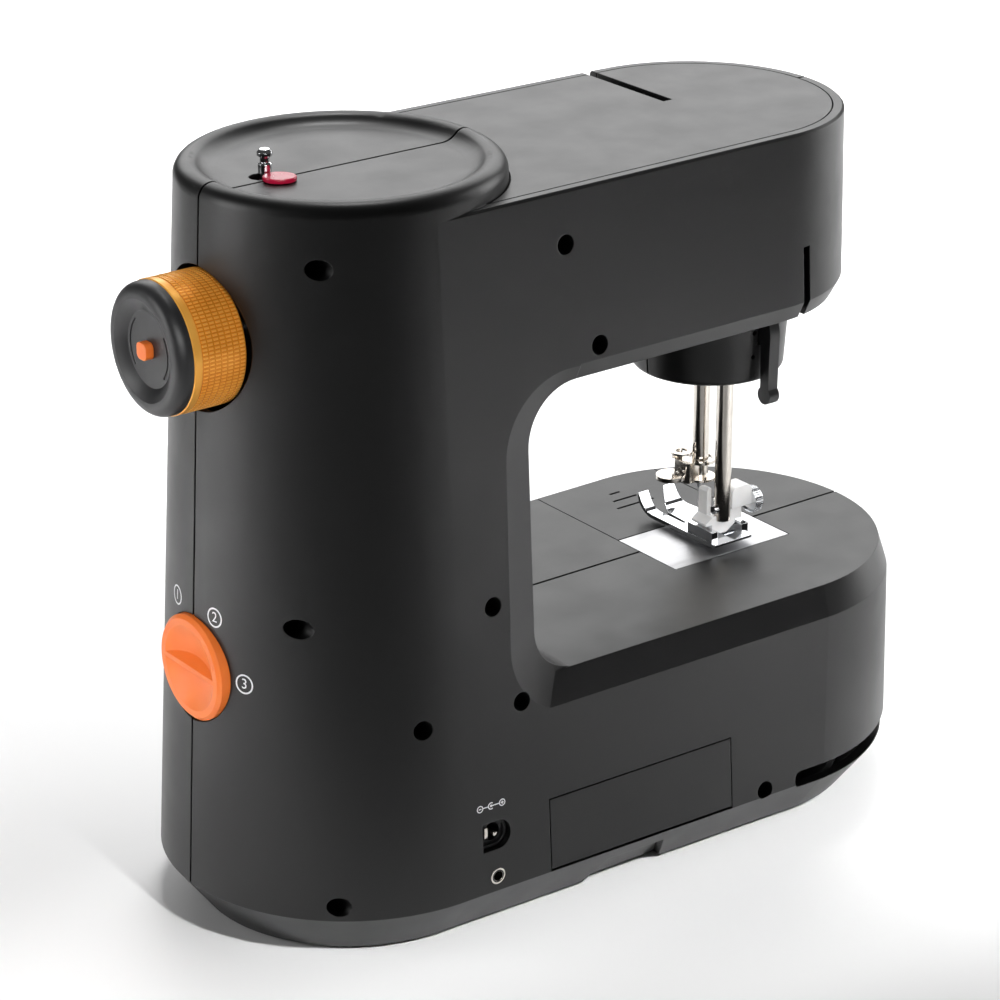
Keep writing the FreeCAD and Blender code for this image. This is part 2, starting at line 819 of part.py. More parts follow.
def belt_outline(grow):
    # Loop round both pulleys: external tangents of two circles in the YZ plane.
    high = V(0, 0, shaft_z)
    low = V(0, hook_y, lower_shaft_z)
    span = low - high
    r_high = upper_pulley_radius + grow
    r_low = lower_pulley_radius + grow
    along = span.normalize()
    distance = (low - high).Length
    lean = (r_high - r_low) / distance
    side = V(0, -along.z, along.y)
    rise = math.sqrt(1 - lean ** 2)
    left = along * lean + side * rise
    right = along * lean - side * rise
    a, b = high + left * r_high, low + left * r_low
    c, d = low + right * r_low, high + right * r_high
    edges = [line(a, b), arc(b, low + along * r_low, c), line(c, d), arc(d, high - along * r_high, a)]
    return Part.Face(Part.Wire(edges))


def belt():
    inner = part_clearance
    loop = belt_outline(inner + belt_thickness).cut(belt_outline(inner))
    solid = loop.extrude(V(belt_width, 0, 0))
    solid.translate(V(pulley_x - belt_width / 2, 0, 0))
    return solid


def make_hand_wheel(parts):
    axis = V(1, 0, 0)
    centre = V(0, 0, shaft_z)
    edge = 0.6
    ring = [(wheel_bore_radius, wheel_inner_x), (wheel_radius - edge, wheel_inner_x),
            (wheel_radius, wheel_inner_x + edge), (wheel_radius, wheel_joint_x),
            (wheel_bore_radius, wheel_joint_x)]
    parts["hand_wheel_ring"] = turned(ring, centre, axis)
    parts["hand_wheel_cap"] = wheel_cap(centre, axis)
    half = peg_size / 2
    dish_x = wheel_tip - wheel_dish_depth
    peg = box(dish_x, dish_x + peg_height, -half, half, shaft_z - half, shaft_z + half)
    long_edges = [e for e in peg.Edges if abs(e.Vertexes[0].X - e.Vertexes[-1].X) > peg_height / 2]
    parts["hand_wheel_peg"] = peg.makeFillet(peg_size / 3, long_edges)


def wheel_cap(centre, axis):
    # Dished face with a rounded rim, and a hub that carries the ring on the main shaft.
    face = wheel_tip - wheel_dish_depth
    rim = wheel_rim_round
    outer = wheel_radius - 0.3
    web = wheel_joint_x - 7.0
    slant = math.sqrt(0.5)
    crest = V(outer - rim, 0, wheel_tip)
    dish_r = crest.x - 2 * wheel_dish_depth
    edges = [line(V(0, 0, web), V(wheel_bore_radius, 0, web)),
             line(V(wheel_bore_radius, 0, web), V(wheel_bore_radius, 0, wheel_joint_x)),
             line(V(wheel_bore_radius, 0, wheel_joint_x), V(outer, 0, wheel_joint_x)),
             line(V(outer, 0, wheel_joint_x), V(outer, 0, wheel_tip - rim)),
             arc(V(outer, 0, wheel_tip - rim),
                 V(outer - rim * (1 - slant), 0, wheel_tip - rim * (1 - slant)), crest),
             line(crest, V(crest.x - 1.0, 0, wheel_tip)),
             arc(V(crest.x - 1.0, 0, wheel_tip),
                 V((crest.x + dish_r) / 2 - 0.8, 0, (face + wheel_tip) / 2), V(dish_r, 0, face)),
             line(V(dish_r, 0, face), V(0, 0, face)), line(V(0, 0, face), V(0, 0, web))]
    cap = Part.Face(Part.Wire(edges)).revolve(V(0, 0, 0), V(0, 0, 1), 360)
    cap.Placement = FreeCAD.Placement(centre, FreeCAD.Rotation(V(0, 0, 1), axis))
    hub = rod_x(0, shaft_z, wheel_hub_radius, wheel_inner_x - 2.0, web)
    bore = rod_x(0, shaft_z, shaft_radius, 0, wheel_joint_x)
    turn = math.radians(cap_bump_turn)
    bump = Part.makeSphere(cap_bump_radius, V(wheel_tip - cap_bump_radius, cap_bump_place * math.cos(turn),
                                              shaft_z + cap_bump_place * math.sin(turn)))
    cap = cap.fuse([hub, bump]).removeSplitter().cut(bore)
    return cap.cut([arc_groove(face, *span) for span in arc_groove_spans])


def arc_groove(face, start, end):
    # Shallow engraved arc in the cap's face; angles in degrees from +Y towards +Z.
    outer = arc_groove_radius + arc_groove_width / 2
    inner = arc_groove_radius - arc_groove_width / 2
    floor = face - arc_groove_depth

    def at(radius, angle):
        turn = math.radians(angle)
        return V(floor, radius * math.cos(turn), shaft_z + radius * math.sin(turn))

    middle = (start + end) / 2
    edges = [arc(at(outer, start), at(outer, middle), at(outer, end)),
             line(at(outer, end), at(inner, end)),
             arc(at(inner, end), at(inner, middle), at(inner, start)),
             line(at(inner, start), at(outer, start))]
    return Part.Face(Part.Wire(edges)).extrude(V(2 * arc_groove_depth, 0, 0))


def make_dial(parts):
    back = dial_face_x - dial_thickness
    edge = dial_edge_round
    disc = [(0, back), (dial_radius, back), (dial_radius, dial_face_x - edge),
            (dial_radius - edge, dial_face_x), (0, dial_face_x)]
    dial = turned(disc, V(0, 0, dial_height), V(1, 0, 0))
    bowl = (dial_dish_radius ** 2 + dial_dish_depth ** 2) / (2 * dial_dish_depth)
    scoop = Part.makeSphere(bowl, V(dial_face_x + bowl - dial_dish_depth, 0, dial_height))
    top = dial_ridge_top / 2
    depth = 2 * dial_dish_depth
    foot = top + dial_ridge_slope * depth
    ridge = polygon_face([V(dial_face_x, 0, top), V(dial_face_x - depth, 0, foot),
                          V(dial_face_x - depth, 0, -foot), V(dial_face_x, 0, -top)])
    ridge = ridge.extrude(V(0, 2 * dial_radius, 0)).translated(V(0, -dial_radius, dial_height))
    stem = rod_x(0, dial_height, dial_stem_radius, back - dial_stem_length, back)
    parts["selector_dial"] = fuse([dial.cut(scoop.cut(ridge)), stem])


def make_winder(parts):
    base = dish_z - wall - part_clearance
    low = gear_top() - tyre_height - 3.0
    slab = 4.0
    shoulder = dish_z + spindle_height - 4.8
    profile = [(0, low), (spindle_radius, low), (spindle_radius, shoulder),
               (spindle_neck_radius, shoulder + 0.6), (spindle_neck_radius, shoulder + 2.0),
               (spindle_head_radius, shoulder + 2.8), (spindle_head_radius, shoulder + 3.8),
               (spindle_head_radius - 0.9, shoulder + 4.8), (0, shoulder + 4.8)]
    parts["winder_spindle"] = turned(profile, V(winder_x, winder_y, 0), V(0, 0, 1))
    tyre = rod_z(winder_x, winder_y, tyre_radius, low, low + tyre_height)
    parts["winder_tyre"] = tyre.cut(rod_z(winder_x, winder_y, spindle_radius, low - 1, low + tyre_height + 1))
    carriage = box(winder_x - 12.0, winder_x + 6.0, winder_y - 6.0, winder_y + 10.0, base - slab, base)
    post = winder_post()
    neck = rod_z(post.x, post.y, tab_post_radius, base, dish_z + part_clearance)
    tab = rounded_tab(post.x, post.y, dish_z + part_clearance)
    bore = rod_z(winder_x, winder_y, spindle_radius + running_clearance, low, pillar_top)
    parts["winder_tab"] = fuse([carriage, neck, tab]).cut(bore)


def gear_top():
    return shaft_z + gear_module * (gear_teeth / 2 + 1)


def rounded_tab(x, y, z):
    # Flat oval thumb tab beside the spindle.
    oval = Part.Ellipse(V(0, 0, 0), tab_length / 2, tab_width / 2).toShape()
    tab = Part.Face(Part.Wire([oval])).extrude(V(0, 0, tab_thickness))
    tab = tab.makeFillet(tab_thickness / 3, [e for e in tab.Edges if e.BoundBox.ZMin > tab_thickness / 2])
    tab.rotate(V(0, 0, 0), V(0, 0, 1), tab_turn)
    tab.translate(V(x, y, z))
    return tab


# Needle and take-up

def stud_height():
    # Height of the needle bar's stud at rest, which stands needle_rest_lift above its lowest place.
    lowest = shaft_z - crank_radius - math.sqrt(link_length ** 2 - needle_y ** 2)
    return lowest + needle_rest_lift


def crank_pin():
    # Where the link from the stud meets the crank's circle, on the front side.
    stud = V(0, needle_y, stud_height())
    centre = V(0, 0, shaft_z)
    span = stud - centre
    distance = span.Length
    along = (crank_radius ** 2 - link_length ** 2 + distance ** 2) / (2 * distance)
    aside = math.sqrt(crank_radius ** 2 - along ** 2)
    unit = span / distance
    return centre + unit * along + V(0, unit.z, -unit.y) * aside


def make_needle(parts):
    bar = rod_z(head_x, needle_y, bar_radius, needle_bar_low, needle_bar_high)
    socket = rod_z(head_x, needle_y, needle_shank_radius, needle_bar_low - 1, needle_bar_low + 8.0)
    parts["needle_bar"] = bar.cut(socket)
    parts["needle"] = needle()
    parts["needle_bracket"] = needle_bracket()
    parts["needle_clamp"] = needle_clamp()
    parts["clamp_screw"] = clamp_screw()
    parts["crank_disc"] = crank_disc()
    parts["needle_link"] = needle_link()
    parts["take_up_lever"] = take_up_lever()


def needle():
    top = needle_bar_low + 8.0
    profile = [(0, needle_tip), (needle_radius, needle_tip + 3.5), (needle_radius, needle_bar_low - 4.0),
               (needle_shank_radius, needle_bar_low - 2.0), (needle_shank_radius, top), (0, top)]
    return turned(profile, V(head_x, needle_y, 0), V(0, 0, 1))


def needle_bracket():
    z = stud_height()
    block = box(head_x - 5.0, head_x + link_offset - part_clearance, needle_y - 5.0, needle_y + 4.0,
                z - 5.0, z + 5.0)
    return block.cut(rod_z(head_x, needle_y, bar_radius, z - 6, z + 6))


def needle_clamp():
    # Bent steel clamp: a plate and a loop round the bar, a block for the screw and a thread eye on top.
    reach = bar_radius + clamp_reach
    block_end = head_x + reach + clamp_block
    plate = rod_z(head_x, needle_y, reach, clamp_low, clamp_low + clamp_plate)
    loop = rod_z(head_x, needle_y, reach, clamp_high - clamp_loop, clamp_high)
    loop = loop.cut(rod_z(head_x, needle_y, reach - clamp_loop, clamp_high - 2 * clamp_loop, clamp_high + 1))
    block = box(head_x + bar_radius, block_end, needle_y - reach, needle_y + reach / 2, clamp_low, clamp_high)
    corners = [e for e in block.Edges if upright_edge(e) and e.CenterOfMass.x > head_x + reach]
    block = block.makeChamfer(clamp_loop, corners)
    eye_z = clamp_high + clamp_eye_rise
    eye_y = needle_y - reach + 0.65 * clamp_eye_radius
    eye_x = head_x + reach + clamp_plate
    strap = box(eye_x - clamp_eye_bore, eye_x + clamp_eye_bore, needle_y - reach,
                needle_y - reach + clamp_plate,
                clamp_high, eye_z + clamp_plate)
    eye = rod_z(eye_x, eye_y, clamp_eye_radius, eye_z, eye_z + clamp_plate)
    clamp = fuse([plate, loop, block, strap, eye])
    clamp = clamp.cut(rod_z(eye_x, eye_y, clamp_eye_bore, eye_z - 1, eye_z + 2))
    clamp = clamp.cut(rod_z(head_x, needle_y, bar_radius, clamp_low - 1, clamp_high + 1))
    return clamp.cut(clamp_thread(0))


def upright_edge(edge):
    ends = [v.Point for v in edge.Vertexes]
    return len(ends) == 2 and abs(ends[0].z - ends[1].z) > 0.9 * edge.Length


def clamp_thread(extra):
    z = (clamp_low + clamp_high) / 2
    return rod_x(needle_y, z, 1.2, head_x + bar_radius, head_x + bar_radius + 8.0 + extra)


def clamp_screw():
    z = (clamp_low + clamp_high) / 2
    block_end = head_x + bar_radius + clamp_reach + clamp_block
    disc = rod_z(block_end + 5.6, needle_y, 5.2, z - 0.8, z + 0.8)
    collar = rod_x(needle_y, z, 2.0, block_end, block_end + 1.3)
    return fuse([clamp_thread(0.5), collar, disc])


def crank_disc():
    x = head_x + 10.0
    pin = crank_pin()
    disc = rod_x(0, shaft_z, crank_disc_radius, x, x + crank_disc_thickness)
    stub = rod_x(pin.y, pin.z, 2.0, head_x + link_offset + link_thickness + part_clearance, x)
    return disc.fuse(stub).removeSplitter()


def needle_link():
    # Connecting rod between the crank pin and the needle bar's stud.
    x = head_x + link_offset
    pin = crank_pin()
    stud = V(0, needle_y, stud_height())
    along = (V(0, pin.y, pin.z) - stud).normalize()
    side = V(0, -along.z, along.y) * 2.2
    top = V(0, pin.y, pin.z)
    shank = polygon_face([stud + side, top + side, top - side, stud - side]).extrude(V(link_thickness, 0, 0))
    shank.translate(V(x, 0, 0))
    eyes = [rod_x(p.y, p.z, link_eye_radius, x, x + link_thickness) for p in (stud, top)]
    link = fuse([shank] + eyes)
    for p in (stud, top):
        link = link.cut(rod_x(p.y, p.z, 2.0 + running_clearance, x - 1, x + link_thickness + 1))
    return link


def take_up_lever():
    half = take_up_thickness / 2
    x = take_up_x - half
    turn = math.radians(take_up_angle)
    along = V(0, -math.cos(turn), math.sin(turn))
    side = V(0, math.sin(turn), math.cos(turn))
    hub = V(0, take_up_y, take_up_height)
    tip = hub + along * take_up_length
    blade = polygon_face([hub + side * 3.5, tip + side * 2.2, tip - side * 2.2, hub - side * 3.5])
    solids = [blade.extrude(V(take_up_thickness, 0, 0)).translated(V(x, 0, 0)),
              rod_x(hub.y, hub.z, 4.5, x, x + take_up_thickness),
              rod_x(tip.y, tip.z, 2.6, x, x + take_up_thickness)]
    lever = fuse(solids)
    lever = lever.cut(rod_x(hub.y, hub.z, 2.0 + running_clearance, x - 1, x + take_up_thickness + 1))
    return lever.cut(rod_x(tip.y, tip.z, 1.2, x - 1, x + take_up_thickness + 1))


def make_head_frame(parts):
    x0 = head_x - 11.0
    x1 = head_x + 4.0
    y0 = needle_y - 8.0
    y1 = presser_y + 8.0
    low_plate = box(x0, x1, y0, y1, boss_floor, boss_floor + frame_plate)
    top_z = shaft_z + 2.0
    top_plate = box(x0, x1, y0, y1, top_z, top_z + frame_plate)
    web = box(x0, x0 + 3.0, y0, y1, boss_floor, top_z + frame_plate)
    ear = box(x0, x0 + 3.0, y1 - 1, lever_pivot_y + 2.5, lever_pivot_z - 4.0, lever_pivot_z + 4.0)
    frame = fuse([low_plate, top_plate, web, ear])
    fit = bar_radius + running_clearance
    frame = frame.cut(rod_z(head_x, needle_y, fit, 0, far))
    frame = frame.cut(rod_z(head_x, presser_y, fit, 0, far))
    frame = frame.cut(rod_x(lever_pivot_y, lever_pivot_z, lever_pin_radius, x0 - 1, x0 + 4.0))
    parts["head_frame"] = frame
    pin_end = lever_x + lever_width / 2 + 2.0
    parts["lever_pin"] = rod_x(lever_pivot_y, lever_pivot_z, lever_pin_radius, x0, pin_end)


# Presser bar and foot

def make_presser(parts):
    bar = rod_z(head_x, presser_y, bar_radius, presser_bar_low, presser_bar_high)
    cross = rod_x(presser_y, ankle_screw_z, 1.5, head_x - 10, head_x + 10)
    parts["presser_bar"] = bar.cut(cross)
    collar_low = lever_pivot_z + lever_hub_radius + part_clearance
    collar_top = collar_low + collar_height
    collar = box(head_x - 5.0, head_x + link_offset - part_clearance, presser_y - 5.0, lever_pivot_y - 0.5,
                 collar_low, collar_top)
    parts["presser_collar"] = collar.cut(rod_z(head_x, presser_y, bar_radius, collar_low - 1, collar_top + 1))
    spring_top = shaft_z + 2.0
    spring = rod_z(head_x, presser_y, bar_radius + 1.8, collar_top, spring_top)
    hollow = rod_z(head_x, presser_y, bar_radius + 0.6, collar_top - 1, spring_top + 1)
    parts["presser_spring"] = spring.cut(hollow)
    parts["presser_lever"] = presser_lever()
    parts["foot_ankle"] = foot_ankle()
    parts["ankle_screw"] = ankle_screw()
    parts["presser_foot"] = presser_foot()


def presser_lever():
    # Lever in the YZ plane: a sector on its pin, which turns under the arm, and a handle that hangs from it.
    turn = math.radians(lever_sector)
    pivot = V(0, lever_pivot_y, lever_pivot_z)

    def round_pivot(angle):
        return pivot + V(0, math.cos(angle), math.sin(angle)) * lever_reach

    outer = lever_pivot_y + lever_reach
    inner = outer - lever_handle
    low = lever_pivot_z - lever_handle_length
    bulb_z = low + lever_bulb_radius
    neck = bulb_z + 1.5 * lever_bulb_radius
    bulb_y = (inner + outer) / 2
    neck_half = 0.42 * lever_handle
    under = V(0, inner, lever_pivot_z - 0.75 * lever_hub_radius)
    hub_low = V(0, pivot.y, under.z)
    edges = [line(pivot, round_pivot(turn)), arc(round_pivot(turn), round_pivot(turn / 2), round_pivot(0)),
             line(round_pivot(0), V(0, bulb_y + neck_half, neck)),
             line(V(0, bulb_y + neck_half, neck), V(0, bulb_y + neck_half, bulb_z)),
             line(V(0, bulb_y + neck_half, bulb_z), V(0, bulb_y - neck_half, bulb_z)),
             line(V(0, bulb_y - neck_half, bulb_z), V(0, bulb_y - neck_half, neck)),
             line(V(0, bulb_y - neck_half, neck), under), line(under, hub_low), line(hub_low, pivot)]
    blade = Part.Face(Part.Wire(edges)).extrude(V(lever_width, 0, 0))
    hub = rod_x(pivot.y, pivot.z, lever_hub_radius, 0, lever_width)
    bulb = rod_x(bulb_y, bulb_z, lever_bulb_radius, 0, lever_width)
    lever = fuse([hub, blade, bulb])
    lever = lever.cut(rod_x(pivot.y, pivot.z, lever_pin_radius + running_clearance, -1, far))
    lever.translate(V(lever_x - lever_width / 2, 0, 0))
    return lever


def ankle_profile():
    # Outline seen from behind: pointed foot between the lugs, shoulders, thin wall beside the bar.
    half = ankle_width / 2
    inside = foot_width / 2 - lug_inset - lug_width - part_clearance
    tip = foot_pin_height - foot_pin_radius - 0.8
    shoulder = lug_height + 1.2
    near = bar_radius + 0.3
    beside = near + ankle_wall
    return [V(half, 0, shoulder), V(half, 0, ankle_groove), V(beside, 0, ankle_groove + ankle_wall),
            V(beside, 0, ankle_top - 1.0), V(beside - 1.0, 0, ankle_top), V(near, 0, ankle_top),
            V(near, 0, ankle_groove), V(-half, 0, ankle_groove), V(-half, 0, shoulder),
            V(-inside, 0, shoulder), V(-inside, 0, shoulder - 1.6), V(-1.5, 0, tip), V(1.5, 0, tip),
            V(inside, 0, shoulder - 1.6), V(inside, 0, shoulder)]


def ankle_flange_plate():
    # Rounded plate towards the needle end, which the clamping screw goes through.
    near = head_x - bar_radius
    end = head_x - ankle_width / 2 - ankle_flange
    low = foot_base + ankle_top - 8.4
    plate = box(end, near, presser_y - 5.0, presser_y + 2.0, low, foot_base + ankle_top - 0.5)
    corners = [e for e in plate.Edges if abs(e.Vertexes[0].Y - e.Vertexes[-1].Y) > 1]
    high = [e for e in corners if e.CenterOfMass.z > low + 5]
    plate = plate.makeFillet(2.2, high)
    stem = box(head_x - ankle_width / 2, near, presser_y - 5.0, presser_y + 1.0, presser_bar_low - 1, low + 1)
    return plate.fuse(stem)


def foot_ankle():
    # White holder that clamps the foot to the presser bar; its groove for the bar is open to the back.
    body = polygon_face(ankle_profile()).extrude(V(0, ankle_depth, 0))
    body.translate(V(head_x, presser_y + 1.0 - ankle_depth, foot_base))
    ankle = fuse([body, ankle_flange_plate()])
    groove = box(head_x - bar_radius, head_x + bar_radius, presser_y, far, presser_bar_low, far)
    pin = foot_pin_place()
    pin_hole = rod_x(pin.y, pin.z, foot_pin_radius + running_clearance, head_x - foot_width,
                     head_x + foot_width)
    needle_room = rod_z(head_x, needle_y, bar_radius + 4.4, 0, far)
    screw_hole = rod_x(presser_y, ankle_screw_z, 1.5, -far, far)
    wall_front = box(head_x + bar_radius, far, presser_y - ankle_wall_front, far,
                     presser_bar_low + ankle_wall, far)
    return ankle.cut([rod_z(head_x, presser_y, bar_radius, presser_bar_low, far), groove, pin_hole,
                      needle_room, screw_hole, wall_front])


def ankle_screw():
    far_side = head_x - ankle_width / 2 - ankle_flange
    near_side = head_x + bar_radius
    shank = rod_x(presser_y, ankle_screw_z, 1.5, far_side, near_side + 0.8)
    knob = rod_x(presser_y, ankle_screw_z, 4.6, far_side - 3.4, far_side)
    tip = rod_x(presser_y, ankle_screw_z, 1.5, near_side, near_side + 1.4)
    return fuse([shank, knob, tip])


def foot_pin_place():
    return V(head_x, presser_y - 3.0, foot_base + foot_pin_height)


def foot_strip():
    # Side profile of the sole, drawn out across the foot: flat under the bar and curled up at the toes.
    z = foot_base
    bend = 9.0
    tilt = math.radians(60.0)
    flat_y = foot_toe_y + bend * 0.8
    inner = bend - foot_sole

    def on_bend(radius, angle):
        return V(0, flat_y - radius * math.sin(angle), z + bend - radius * math.cos(angle))

    up, up_in = on_bend(bend, tilt), on_bend(inner, tilt)
    rise = V(0, -math.cos(tilt), math.sin(tilt)) * (toe_rise - bend * (1 - math.cos(tilt)))
    heel_low, heel_top = V(0, foot_heel_y, z + 0.5), V(0, foot_heel_y, z + foot_sole)
    heel_turn = V(0, foot_heel_y - 4.0, z)
    edges = [line(heel_low, heel_turn), line(heel_turn, on_bend(bend, 0)),
             arc(on_bend(bend, 0), on_bend(bend, tilt / 2), up), line(up, up + rise),
             line(up + rise, up_in + rise),
             line(up_in + rise, up_in), arc(up_in, on_bend(inner, tilt / 2), on_bend(inner, 0)),
             line(on_bend(inner, 0), heel_top), line(heel_top, heel_low)]
    strip = Part.Face(Part.Wire(edges)).extrude(V(foot_width, 0, 0))
    return strip.translated(V(head_x - foot_width / 2, 0, 0)), (up + rise).y


def foot_plan(tip_y):
    # Plan of the foot: a slim toe on the wheel's side and a broad one that tapers, with a gap between.
    half = foot_width / 2
    near_edge = half - near_toe_width
    far_edge = near_edge - toe_gap
    slot_y = needle_y - 3.0
    tip_far = half - 1.6
    points = [V(half, foot_heel_y, 0), V(half, tip_y, 0), V(near_edge, tip_y, 0), V(near_edge, slot_y, 0),
              V(far_edge, slot_y, 0), V(far_edge - 0.6, slot_y - 11.0, 0),
              V(far_toe_width - tip_far, tip_y, 0),
              V(-tip_far, tip_y, 0), V(-half, tip_y + 14.0, 0), V(-half, foot_heel_y, 0)]
    plan = polygon_face(points).extrude(V(0, 0, far))
    tips = [e for e in plan.Edges if upright_edge(e) and abs(e.CenterOfMass.y - tip_y) < 0.01]
    heels = [e for e in plan.Edges if upright_edge(e) and abs(e.CenterOfMass.y - foot_heel_y) < 0.01]
    return plan.makeFillet(1.4, tips + heels).translated(V(head_x, 0, 0))


def presser_foot():
    # Zigzag foot: a curled strip cut to its plan, with a needle slot, two lugs and the pin between them.
    strip, tip_y = foot_strip()
    sole = strip.common(foot_plan(tip_y))
    sole = sole.cut(box(head_x - 4.0, head_x + 3.2, needle_y - 1.6, needle_y + 1.6, 0, far))
    pin = foot_pin_place()
    lugs = []
    outer = foot_width / 2 - lug_inset
    inner = outer - lug_width
    for x0, x1 in ((inner, outer), (-outer, -inner)):
        lugs.append(box(head_x + x0, head_x + x1, lug_front_y, lug_back_y, foot_base, foot_base + lug_height))
    cross = rod_x(pin.y, pin.z, foot_pin_radius, head_x - inner, head_x + inner)
    return fuse([sole] + lugs + [cross])


# Bed mechanism

def lower_uprights():
    return (-24.0, head_x + 18.0)


def make_needle_plate(parts):
    gap = part_clearance
    plate = box(plate_far_x + gap, plate_near_x - gap, plate_front_y + gap, plate_back_y - gap,
                bed_top - plate_thickness, bed_top)
    slot = box(head_x - 3.0, head_x + 3.0, needle_y - 0.9, needle_y + 0.9, 0, far)
    plate = plate.cut(slot)
    row = feed_row_width / 2 + 0.4
    front = needle_y - feed_row_front - feed_stroke - feed_slot_margin
    back = needle_y + feed_row_back + feed_stroke + feed_slot_margin
    for side in (-1, 1):
        x = head_x + side * feed_row_spacing / 2
        plate = plate.cut(box(x - row, x + row, front, back, 0, far))
    parts["needle_plate"] = plate


def make_feed(parts):
    rows = []
    y0 = needle_y - feed_row_front
    y1 = needle_y + feed_row_back
    low = feed_row_low
    for side in (-1, 1):
        x = head_x + side * feed_row_spacing / 2
        half = feed_row_width / 2
        rows.append(box(x - half, x + half, y0, y1, low, bed_top + 0.4))
    half = feed_row_spacing / 2 + feed_row_width / 2
    body_low = hook_top - 2.0
    body = box(head_x - half, head_x + half, needle_y + 3.2, y1, body_low, low)
    parts["feed_dog"] = fuse(rows + [body])
    parts["feed_carrier"] = box(head_x - 19.0, head_x + 16.0, needle_y + 4.2, needle_y + 12.2,
                                body_low - feed_lift - 5.0, body_low - feed_lift - part_clearance)


def make_hook(parts):
    cup = [(0, hook_floor), (hook_radius, hook_floor), (hook_radius, hook_top),
           (hook_radius - hook_wall, hook_top), (hook_radius - hook_wall, hook_floor + 2.0),
           (0, hook_floor + 2.0)]
    centre = V(head_x, hook_y, 0)
    hook = turned(cup, centre, V(0, 0, 1))
    window = box(0, far, -6.0, 7.0, hook_floor + 9.0, hook_top + 1).translated(V(head_x, hook_y, 0))
    shaft = rod_z(head_x, hook_y, hook_shaft_radius, lower_shaft_z + bevel_pitch_radius - bevel_face,
                  hook_floor)
    parts["hook"] = fuse([hook.cut(window), shaft])
    case_radius = hook_radius - hook_wall - 0.5
    floor = hook_floor + 2.5
    case_top = feed_row_low - feed_lift - part_clearance
    case = [(0, floor), (case_radius, floor), (case_radius, case_top), (case_radius - 1.2, case_top),
            (case_radius - 1.2, floor + 1.2), (0, floor + 1.2)]
    parts["bobbin_case"] = turned(case, centre, V(0, 0, 1))
    spool_low = floor + 1.2 + part_clearance
    top = spool_low + bobbin_height
    spool = [(3.0, spool_low), (bobbin_radius, spool_low), (bobbin_radius, spool_low + 1.0),
             (4.2, spool_low + 1.0),
             (4.2, top - 1.0), (bobbin_radius, top - 1.0), (bobbin_radius, top), (3.0, top)]
    parts["bobbin"] = turned(spool, centre, V(0, 0, 1))


def bevel_gear(turn):
    # Mitre gear on +Z with its pitch apex at the origin; its large end is at the pitch radius.
    large = bevel_pitch_radius
    small = bevel_pitch_radius - bevel_face
    step = 1.3
    root = [(0, small), (small - step, small), (large - step, large), (large - step, large + 3.0),
            (0, large + 3.0)]
    blank = turned(root, V(0, 0, 0), V(0, 0, 1))
    pieces = [blank]

    def section(size, scale):
        wide = 0.5 * scale
        thin = 0.2 * scale
        low = size - step - 0.5
        high = size + 0.3 * scale
        points = [V(low, -wide, size), V(high, -thin, size - 0.3 * scale), V(high, thin, size - 0.3 * scale),
                  V(low, wide, size)]
        return Part.makePolygon(points + [points[0]])

    tooth = Part.makeLoft([section(large, 1.6), section(small, 1.6 * small / large)], True, True)
    for index in range(bevel_teeth):
        copy = tooth.copy()
        copy.rotate(V(0, 0, 0), V(0, 0, 1), turn + 360.0 * index / bevel_teeth)
        pieces.append(copy)
    return fuse(pieces)


def make_lower_drive(parts):
    apex = V(head_x, hook_y, lower_shaft_z)
    upper = bevel_gear(0)
    upper.translate(apex)
    parts["hook_bevel"] = upper.cut(rod_z(head_x, hook_y, hook_shaft_radius, 0, far))
    lower = bevel_gear(180.0 / bevel_teeth)
    lower.rotate(V(0, 0, 0), V(0, 1, 0), 90)
    lower.translate(apex)
    parts["lower_bevel"] = lower.cut(rod_x(hook_y, lower_shaft_z, shaft_radius - 1.0, -far, far))
    start = head_x + bevel_pitch_radius - bevel_face
    thick = rod_x(hook_y, lower_shaft_z, shaft_radius, head_x + bevel_pitch_radius + 3.0, pulley_x + 6.0)
    thin = rod_x(hook_y, lower_shaft_z, shaft_radius - 1.0, start, head_x + bevel_pitch_radius + 3.0)
    parts["lower_shaft"] = thick.fuse(thin).removeSplitter()


def make_bed_frame(parts):
    near, far_up = lower_uprights()
    end_x = head_x - 21.0
    floor = box(end_x, near + frame_plate, hook_y - 13.0, needle_y + 13.0, base_top, base_top + 3.0)
    plates = [floor]
    for x in (near, far_up):
        plates.append(box(x, x + frame_plate, hook_y - 9.0, hook_y + 9.0, base_top, lower_shaft_z + 9.0))
    bridge_low = hook_floor - 12.0
    rail_top = hook_top - 2.0 - feed_lift - 5.0
    for x in (far_up, end_x):
        plates.append(box(x, x + frame_plate, hook_y - 9.0, needle_y + 13.0, base_top,
                          bridge_low + frame_plate))
        plates.append(box(x, x + frame_plate, needle_y + 4.2, needle_y + 12.2, base_top, rail_top))
    plates.append(box(end_x, far_up, hook_y - 9.0, hook_y + 9.0, bridge_low, bridge_low + frame_plate))
    frame = fuse(plates)
    for x in (near, far_up):
        frame = frame.cut(rod_x(hook_y, lower_shaft_z, bush_radius, x - 1, x + frame_plate + 1))
    parts["bed_frame"] = frame.cut(rod_z(head_x, hook_y, hook_shaft_radius + running_clearance,
                                         bridge_low - 1,
                                         bridge_low + frame_plate + 1))


# Electrics and small outside pieces

